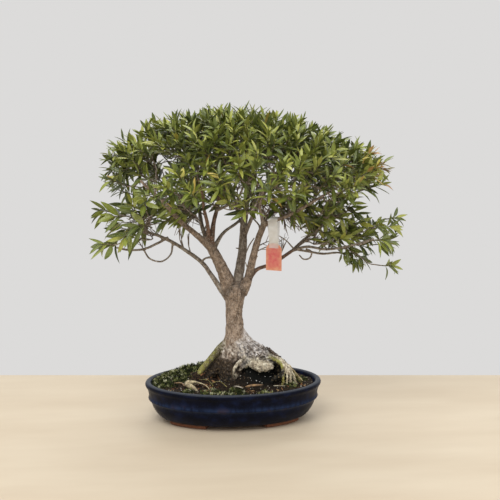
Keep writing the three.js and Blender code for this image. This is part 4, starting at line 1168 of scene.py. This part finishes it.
def bark_lift(x, y, z, radius, soiled):
    """How far the bark stands out at a point: lumps, cracks, the knotty fork, the hood's folds and clods."""
    lumps = noise.fractal(Vector((x / 7, y / 7, z / 9)), 0.9, 2.1, 3)
    cracks = patchy(x, y, z, 1.7, 6)
    knots = math.exp(-((z - 186) / 17) ** 2) * max(0.0, 1 - math.hypot(x - 2, y) / 30)
    lift = min(0.9, 0.07 * radius) * lumps + min(0.3, 0.05 * radius) * cracks + 1.6 * knots * lumps
    lift += hood_share(x, z) * (1.6 * wrinkles(x, y, z) - 0.8)
    return lift + soiled * 2.2 * noise.fractal(Vector((x / 4, y / 4, z / 4)), 1.0, 2.0, 3)


def make_wood(material):
    """The wood in one piece, with its colours, its relief and the soil that clings to it."""
    wood, samples = grown_wood(material)
    tree = kdtree.KDTree(len(samples))
    for i, sample in enumerate(samples):
        tree.insert(sample[3], i)
    tree.balance()
    mesh = wood.data
    count = len(mesh.vertices)
    places = np.empty(count * 3)
    mesh.vertices.foreach_get("co", places)
    places = (places.reshape(-1, 3) - ORIGIN) / MM
    normals = np.empty(count * 3, np.float32)
    mesh.vertex_normals.foreach_get("vector", normals)
    normals = normals.reshape(-1, 3)
    tints = np.ones((count, 4))
    soiled = np.zeros(count)
    for i, (x, y, z) in enumerate(places):
        near = tree.find_n((x, y, z), 4)
        tints[i, :3], soiled[i] = bark_tint(x, y, z, near, samples)
        places[i] += normals[i] * bark_lift(x, y, z, samples[near[0][1]][1], soiled[i])
    mesh.vertices.foreach_set("co", framed(places).ravel())
    set_attribute(wood, "tint", "FLOAT_COLOR", tints)
    set_attribute(wood, "soiled", "FLOAT", soiled)
    mesh.polygons.foreach_set("use_smooth", [True] * len(mesh.polygons))
    mesh.update()
    belongs(wood, "bark", "tree")


# Crown

def crown_top(x, y):
    """How high the crown stands over a place in plan."""
    outline = np.interp(x, *zip(*CROWN_TOP))
    reach = CROWN_HALF_DEPTH * math.sqrt(max(0.05, 1 - ((x - CROWN_MIDDLE) / CROWN_HALF_LENGTH) ** 2))
    share = min(1.0, abs(y) / reach)
    return CROWN_BASE + (outline - CROWN_BASE) * (1 - share ** CROWN_FULLNESS)


def random_step(reach):
    """A step of at most this much each way along each axis."""
    return np.array([rng.uniform(-reach, reach) for _ in range(3)])


def plan_place(share, angle):
    """A place in plan, from the crown's middle at share 0 to its rim at 1."""
    x = CROWN_MIDDLE + CROWN_HALF_LENGTH * share * math.cos(angle)
    return x, CROWN_HALF_DEPTH * share * math.sin(angle)


def dome_tufts(count, sink, spread, lift, leaves):
    """Shoot tips spread evenly under the crown's top: (tip, axis, leaf count)."""
    tufts = []
    for i in range(count):
        share = spread * math.sqrt((i + 0.5) / count)
        angle = i * GOLDEN_ANGLE + sink
        x, y = plan_place(share, angle)
        x += rng.uniform(-7, 7)
        y += rng.uniform(-7, 7)
        z = crown_top(x, y) - sink - rng.uniform(0, 9)
        axis = unit((share * math.cos(angle), share * math.sin(angle), lift + rng.uniform(-0.2, 0.3)))
        tufts.append(((x, y, z), axis, leaves + rng.randint(-2, 2)))
    return tufts


def in_gap(tip):
    """Whether a tuft would close one of the openings that let the sky through."""
    x, _, z = tip
    spans = [((x - gap_x) / wide, (z - gap_z) / high) for gap_x, gap_z, wide, high in SKY_GAPS]
    return any(math.hypot(*span) < 1 for span in spans)


def rim_tufts(count, share, low, high, lift):
    """Shoot tips in a ring round the crown, between two heights."""
    tufts = []
    for i in range(count):
        angle = 2 * math.pi * (i + rng.uniform(0.2, 0.8)) / count
        x, y = plan_place(share * rng.uniform(0.93, 1.0), angle)
        z = rng.uniform(low, high)
        axis = unit((math.cos(angle), math.sin(angle), lift + rng.uniform(-0.2, 0.25)))
        tufts.append(((x, y, z), axis, rng.randint(9, 13)))
    return tufts


def pad_tufts(places, outward):
    """Shoots that end at given places and point away from their middle, and to one side."""
    tufts = []
    middle = np.mean(places, axis=0)
    for place in places:
        away = (np.array(place) - middle) / (60, 60, 45)
        axis = unit(away + (outward, 0, 0.1) + random_step(0.25))
        tufts.append((place, axis, rng.randint(9, 13)))
    return tufts


def spray_middles():
    """The middle of each of the part's sprays, by the spray's name."""
    middles = {}
    for node in sorted(name for name in frame["nodes"] if name.startswith("spray_")):
        low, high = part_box(node)
        middles[node] = (np.array((low + high) / 2) - ORIGIN) / MM
    return middles


def node_tufts():
    """A shoot for each spray of the part, from the middle of its box and away from the crown's root."""
    tufts = []
    for middle in spray_middles().values():
        axis = unit((middle - CROWN_ROOT) * (1, 1, 0.6) + (0, 0, 12))
        tufts.append((middle + 10 * axis, axis, 12))
    return tufts


def all_tufts():
    """Every shoot, save those in the openings, from the innermost outwards."""
    tufts = [
        *node_tufts(),
        *dome_tufts(160, sink=12, spread=0.95, lift=0.75, leaves=16),
        *dome_tufts(76, sink=42, spread=0.86, lift=0.45, leaves=14),
        *dome_tufts(20, sink=72, spread=0.66, lift=0.3, leaves=10),
        *rim_tufts(20, share=0.94, low=330, high=352, lift=0.15),
        *pad_tufts(UNDERSIDE, outward=0),
        *pad_tufts(LEFT_END, outward=-0.7),
        *pad_tufts(RIGHT_END, outward=0.7),
        *pad_tufts(LEFT_PAD, outward=-0.5),
        *pad_tufts(RIGHT_PAD, outward=0.5),
    ]
    open_tufts = [tuft for tuft in tufts if not in_gap(tuft[0])]
    return sorted(open_tufts, key=lambda tuft: math.dist(tuft[0], CROWN_ROOT))


def limb_buds(route, start):
    """Points along a limb that twigs may leave from: (x, y, z, radius, and the limb's way)."""
    ways = np.gradient(route[:, :3], axis=0)
    ways /= np.linalg.norm(ways, axis=1)[:, None]
    first = int(len(route) * start)
    return np.hstack([route, ways])[first:]


def bud_for(start, buds):
    """The bud that a twig to a place best grows from, and how far it is."""
    reach = start - buds[:, :3]
    length = np.linalg.norm(reach, axis=1)
    ahead = np.einsum("ij,ij->i", reach, buds[:, 4:7]) / np.maximum(length, 1e-6)
    score = np.where((length > 9) & (ahead > -0.1), length * (1.7 - ahead), np.inf)
    best = int(np.argmin(score))
    return buds[best], length[best]


def twig_to(start, axis, buds):
    """The places of a twig from the best placed bud to where a shoot starts."""
    bud, far = bud_for(start, buds)
    root, way = bud[:3], bud[4:7]
    thick = min(bud[3], 0.95 + 0.009 * far)
    sag = np.array((rng.uniform(-0.06, 0.06), rng.uniform(-0.06, 0.06), -0.05)) * far
    third = root + 0.3 * (start - root) + 0.16 * far * way + sag
    late = root + 0.7 * (start - root) - 0.1 * far * axis + 0.05 * far * way + sag
    return [(*root, thick), (*third, 0.8 * thick + 0.15), (*late, 0.6 * thick + 0.3), (*start, 0.85)]


def bare_twigs(buds):
    """Routes of fine, nearly straight bare twigs, each with a fork or two."""
    routes = []
    for count, low, high in BARE_TWIGS:
        for _ in range(count):
            end = np.array([rng.uniform(a, b) for a, b in zip(low, high)])
            bud, far = bud_for(end, buds)
            root = bud[:3]
            knee = root + 0.5 * (end - root) + 0.07 * far * bud[4:7]
            knee += far * random_step(0.03)
            route = smooth_route([(*root, 0.95), (*knee, 0.7), (*end, 0.35)], 5)
            routes.append(route)
            way = unit(end - root)
            for share in (0.35, 0.55, 0.78):
                at = route[int(share * (len(route) - 1))]
                fork = unit(way + random_step(0.7) + (0, 0, 0.2))
                tip = at[:3] + rng.uniform(9, 26) * fork
                routes.append(smooth_route([(*at[:3], 0.6), (*tip, 0.3)], 8))
    return routes


def turned(way, upright):
    """The turn of a leaf that runs one way with its face as near a given way as it can be."""
    side = unit(np.cross(upright, way))
    return Matrix((way, side, np.cross(way, side))).transposed()


def leaf_on(root, stem, share, spin, tuft):
    """One leaf as (root, turn, size, kind, tone), and where its tip is from its root."""
    stem = unit(stem)
    aside = unit(np.cross(stem, (0.2, 0.1, 1.0)))
    out = math.cos(spin) * aside + math.sin(spin) * np.cross(stem, aside)
    lean = math.radians(78 - 50 * share + rng.uniform(-14, 14))
    way = math.cos(lean) * stem + math.sin(lean) * out
    sway = (rng.uniform(-0.2, 0.2), rng.uniform(-0.2, 0.2), tuft["droop"] + rng.uniform(-0.25, 0.2))
    way = unit(way + np.array(sway))
    upright = tuft["face"] + 0.5 * stem + random_step(0.7)
    turn = turned(way, upright)
    length = tuft["size"] * LEAF_LENGTH * (0.72 + 0.42 * rng.random()) * (1 - 0.36 * share ** 3)
    width = tuft["size"] * LEAF_WIDTH * (0.8 + 0.42 * rng.random()) * (1 - 0.3 * share ** 3)
    young = (YOUNG_TONE + tuft["ripe"]) * share ** 2
    tone = min(GREENEST + tuft["ripe"], DARKEST + 0.6 * rng.random() + young + tuft["tone"])
    if rng.random() < YELLOW_LEAVES:
        tone = 0.93 + 0.07 * rng.random()
    kind = min(len(LEAF_SHAPES) - 1, int(len(LEAF_SHAPES) * rng.random() ** 1.2))
    _, arch, bend = LEAF_SHAPES[kind]
    tip = turn @ Vector((length, bend * width * LEAF_LENGTH / LEAF_WIDTH, -arch * length))
    return (root, turn.to_euler(), (length, width, length), kind, min(1.0, max(0.0, tone))), tip


def inside_box(root, reach):
    """How much of a leaf's reach fits in the part's box."""
    low, high = ((np.array(corner) - ORIGIN) / MM for corner in CAD_BOX)
    share = 1.0
    for axis in range(3):
        travel = reach[axis]
        for wall, sign in ((low[axis] + WALL_MARGIN, -1), (high[axis] - WALL_MARGIN, 1)):
            room = sign * (wall - root[axis])
            if sign * travel > room:
                share = min(share, room / (sign * travel))
    return share


def blade_shape(name, fold, arch, bend):
    """A willow leaf one long and one wide: a short stalk, a folded lance blade and a drawn-out tip."""
    points, blades = [(0, 0, 0)], [(0, 0, 1)]
    thick = LEAF_THICKNESS / LEAF_LENGTH
    for along, wide in BLADE_RINGS:
        half = wide / 2
        middle = (along, bend * along ** 2 * LEAF_LENGTH / LEAF_WIDTH, -arch * along ** 2)
        rise = fold * half * LEAF_WIDTH / LEAF_LENGTH
        for across, lift, upper in ((-1, rise, 0), (0, thick / 2, 1), (1, rise, 0), (0, -thick / 2, -1)):
            points.append((middle[0], middle[1] + across * half, middle[2] + lift))
            blades.append((along, across, upper))
    points.append((1, bend * LEAF_LENGTH / LEAF_WIDTH, -arch))
    blades.append((1, 0, 1))
    mesh = bpy.data.meshes.new(name)
    mesh.from_pydata(points, [], closed_faces(len(BLADE_RINGS), 4))
    mesh.polygons.foreach_set("use_smooth", [True] * len(mesh.polygons))
    shape = bpy.data.objects.new(name, mesh)
    recalculated(shape)
    set_attribute(shape, "blade", "FLOAT_VECTOR", blades)
    margin = mesh.attributes.new("sharp_edge", "BOOLEAN", "EDGE")
    for edge, sharp in zip(mesh.edges, margin.data):
        sharp.value = all(blades[corner][2] == 0 for corner in edge.vertices)
    return shape


def leaf_tree(shapes, material):
    """Leaves set on points, each by its own turn, size, shape and tone."""
    tree, given = new_tree("leaves_on_shoots", [("Size", "NodeSocketFloat", MM)])
    node = partial(add, tree)
    own_size = node(NAMED, {"Name": "size"}, 0, data_type="FLOAT_VECTOR")
    size = node("ShaderNodeVectorMath", {0: own_size, "Scale": given["Size"]}, 0, operation="SCALE")
    chosen = node("GeometryNodeCollectionInfo", {"Collection": shapes, "Separate Children": True}, 0)
    placed = node("GeometryNodeInstanceOnPoints", {
        "Points": given["Geometry"], "Instance": chosen, "Pick Instance": True, "Scale": size,
        "Instance Index": node(NAMED, {"Name": "kind"}, 0, data_type="INT"),
        "Rotation": node(NAMED, {"Name": "turn"}, 0, data_type="FLOAT_VECTOR"),
    }, 0)
    return finished(tree, placed, material)


def sector_of(place):
    """The crown's piece that a place belongs to."""
    return min(SECTORS, key=lambda name: math.dist(place, SECTORS[name]))


def tuft_of(tip):
    """How the leaves round a shoot's tip droop and face, their size, and what is added to their tone."""
    x, y, z = tip
    in_pad = z < PAD_TOP
    # Deeper in the crown, and in the lower pads, leaves get a darker tone: partly older, deeper green leaves
    # and partly painted shade
    older_and_shaded = 0.35 if in_pad else between(crown_top(x, y) - z, 12, 70)
    low, high = RIPE_BOX
    tuft = {
        "droop": -0.18 if in_pad else 0.1 + 0.2 * max(0.0, (z - 380) / 60),
        "face": np.array((0, 0, 1.0)),
        "size": 0.84,
        "tone": rng.uniform(-0.1, 0.14) - 0.18 * older_and_shaded + (0.14 if rng.random() < 0.12 else 0),
        "ripe": 0.3 if all(a < b < c for a, b, c in zip(low, tip, high)) else 0,
    }
    if in_pad:
        tuft["face"] = np.array((0, -0.7 if y < 8 else 0.7, 0.45))
    if in_pad and x <= RIGHT_SIDE:
        tuft["size"] = 1.2 if x < LEFT_TIPS else 1.04
    return tuft


def leaves_on(shoot, tip, count, first_spin):
    """The leaves round a shoot, short enough to stay in the part's box. In the lower pads they are fewer."""
    in_pad = tip[2] < PAD_TOP
    if in_pad:
        count = max(5, round((0.8 if tip[0] > RIGHT_SIDE else 0.56) * count))
    lowest = 0.45 if in_pad else 0.15
    tuft = tuft_of(tip)
    ways = np.gradient(shoot[:, :3], axis=0)
    rows = []
    for i in range(count):
        share = lowest + (1 - lowest) * i / (count - 1)
        at = min(len(shoot) - 1, int(share * (len(shoot) - 1) + 0.5))
        leaf, reach = leaf_on(shoot[at, :3], ways[at], share, i * GOLDEN_ANGLE + first_spin, tuft)
        root, turn, size, kind, tone = leaf
        fits = inside_box(root, reach)
        if fits > LEAST_FIT:
            rows.append((root, turn, tuple(side * fits for side in size), kind, tone))
    return rows


def make_crown(bark, leaf):
    limbs = [*TAN_LIMBS, *RED_LIMBS, *GREY_LIMBS]
    buds = np.vstack([limb_buds(smooth_route(places, 4), 0.45) for places in limbs])
    leaves = {name: [] for name in SECTORS}
    twigs = []
    for tip, axis, count in all_tufts():
        tip = np.array(tip, float)
        reach = SHOOT_REACH * (rng.uniform(0.45, 0.8) if tip[2] < PAD_TOP else rng.uniform(0.7, 1.1))
        start = tip - reach * axis
        twig = smooth_route(twig_to(start, axis, buds), 5)
        buds = np.vstack([buds, limb_buds(twig, 0.4)])
        sideways = random_step(1)
        bend = start + 0.5 * reach * axis + 1.6 * sideways
        shoot = smooth_route([(*start, 0.85), (*bend, 0.75), (*tip, 0.45)], 3)
        twigs += [("twig", twig), ("shoot", shoot)]
        leaves[sector_of(tip)] += leaves_on(shoot, tip, count, sideways[0])
    for start, end in SPEARS:
        turn = turned(unit(np.subtract(end, start)), (0.3, -1, 0.2)).to_euler()
        length = math.dist(start, end)
        leaves[sector_of(start)].append((start, turn, (length, SPEAR_WIDTH, length), 0, 0.5))
    twigs.extend(("grey", smooth_route(places, 3)) for places in DEAD_STUBS)
    twigs.extend(("twig", route) for route in bare_twigs(buds))
    solids = [tube(route, 7 if route[0, 3] > 1.2 else 5) for _, route in twigs]
    colours = [BARK_TINTS[tint] for tint, _ in twigs]
    belongs(tinted_piece("twigs", colours, solids, bark), "bark", "tree")
    make_leaves(leaves, leaf)


def make_leaves(leaves, material):
    shapes = [blade_shape(f"blade_{i}", *shape) for i, shape in enumerate(LEAF_SHAPES)]
    blades = shape_collection("blades", shapes)
    tree = leaf_tree(blades, material)
    sprays = {name: [] for name in SECTORS}
    for node, middle in spray_middles().items():
        sprays[sector_of(middle)].append(node)
    for name, rows in leaves.items():
        roots, turns, sizes, kinds, tones = zip(*rows)
        piece = piece_of(name, roots, [], None)
        set_attribute(piece, "turn", "FLOAT_VECTOR", [tuple(turn) for turn in turns])
        set_attribute(piece, "size", "FLOAT_VECTOR", sizes)
        set_attribute(piece, "kind", "INT", kinds)
        set_attribute(piece, "tone", "FLOAT", tones)
        run_tree(piece, tree, {"Size": MM})
        belongs(piece, "leaf", *sprays[name])
    drop_collection(blades)


# Tag

def hung(points):
    """Points round the branch's own middle, turned to the branch and put on it."""
    turn = np.array(Matrix.Rotation(TAG_TURN, 3, "Z"))
    return np.array(points) @ turn.T + TAG_PLACE


def make_strap(material):
    """The clear band: up one leg, over the branch and down the other."""
    half_turn = np.linspace(0, math.pi, 13)[1:-1]
    arc = [(BAND_HALF_LOOP * math.cos(a), 1 + BAND_HALF_LOOP * math.sin(a)) for a in half_turn]
    middle = np.array([*BAND_LEG, *arc, *((-y, z) for y, z in reversed(BAND_LEG))])
    ways = np.gradient(middle, axis=0)
    normals = np.array([(-way[1], way[0]) / np.linalg.norm(way) for way in ways])
    half = BAND_WIDTH / 2
    points = []
    for (y, z), (ny, nz) in zip(middle, normals):
        for x, side in ((-half, 0), (half, 0), (half, BAND_THICKNESS), (-half, BAND_THICKNESS)):
            points.append((x, y + ny * side, z + nz * side))
    end = len(points) - 4
    faces = [face for low in range(0, end, 4) for face in band(low, low + 4, 4)]
    faces += [(3, 2, 1, 0), (end, end + 1, end + 2, end + 3)]
    strap = piece_of("tag_band", hung(points), faces, material, smooth=False)
    recalculated(strap)
    belongs(strap, "tag_clear", "tag_strap")


def make_label(material):
    """The pink plate: an arched top, a face on each side built in shrinking rings, and a thin edge."""
    half = LABEL_HALF_WIDTH
    shoulder = LABEL_TOP - LABEL_ARCH
    outline = [(-half, LABEL_BOTTOM), (half, LABEL_BOTTOM)]
    half_turn = np.linspace(0, math.pi, 14)
    outline += [(half * math.cos(a), shoulder + LABEL_ARCH * math.sin(a)) for a in half_turn]
    centre = np.array((0, (LABEL_TOP + LABEL_BOTTOM) / 2))
    points, rims, faces = [], [], []
    for face_y in (-LABEL_THICKNESS / 2, LABEL_THICKNESS / 2):
        for share in LABEL_RINGS:
            for corner in outline:
                x, z = centre + share * (np.array(corner) - centre)
                points.append((x, face_y * (0.8 if share == 1 else 1), z))
                rims.append(between(share, 0.6, 0.95))
    count, layers = len(outline), len(LABEL_RINGS)
    for start in (0, layers * count):
        inmost = start + (layers - 1) * count
        for low in range(start, inmost, count):
            faces += band(low, low + count, count)
        faces.append(range(inmost, inmost + count))
    faces += band(0, layers * count, count)
    label = piece_of("tag_plate", hung(points), faces, material, smooth=False)
    recalculated(label)
    set_attribute(label, "rim", "FLOAT", rims)
    belongs(label, "tag_pink", "tag_label")


# Studio

def make_studio():
    """The camera, the floor, the lights and the room's soft light."""
    camera = bpy.data.objects.new("photo_camera", bpy.data.cameras.new("photo_camera"))
    camera.data.lens = CAMERA_LENS
    camera.data.sensor_width = 36
    aside = Matrix.Rotation(math.radians(CAMERA_TURN), 4, "Z")
    down = Matrix.Rotation(math.radians(90 - CAMERA_DOWN), 4, "X")
    camera.matrix_world = Matrix.Translation(framed(CAMERA_PLACE)) @ aside @ down
    bpy.context.scene.collection.objects.link(camera)
    bpy.context.scene.camera = camera
    corners = [aside @ Vector(corner) for corner in FLOOR_CORNERS]
    floor = piece_of("floor", corners, [(0, 1, 2, 3)], floor_material(), smooth=False)
    for name, place, size, watts in LIGHTS:
        data = bpy.data.lights.new(name, "AREA")
        data.size = size
        data.energy = watts
        light = bpy.data.objects.new(name, data)
        light.location = framed(place)
        aim = Vector(framed(LIGHTS_AIM)) - light.location
        light.rotation_euler = aim.to_track_quat("-Z", "Y").to_euler()
        bpy.context.scene.collection.objects.link(light)
    world = bpy.data.worlds.new("soft_room")
    world.use_nodes = True
    world.node_tree.nodes["Background"].inputs[0].default_value = linear(ROOM_COLOUR)
    world.node_tree.nodes["Background"].inputs[1].default_value = 1.0
    bpy.context.scene.world = world
    bpy.context.scene.view_settings.view_transform = "Standard"


make_studio()
bark = bark_material()
make_pot(glaze_material(), clay_material())
make_ground_cover(make_soil_bed(soil_material()))
make_fallen_bits(bark)
make_wood(bark)
make_crown(bark, leaf_material())
make_strap(film_material())
make_label(label_material())
screen = screen_material()
for node in ("drain_screen_left", "drain_screen_right"):
    frame["nodes"][node].data.materials.clear()
    frame["nodes"][node].data.materials.append(screen)
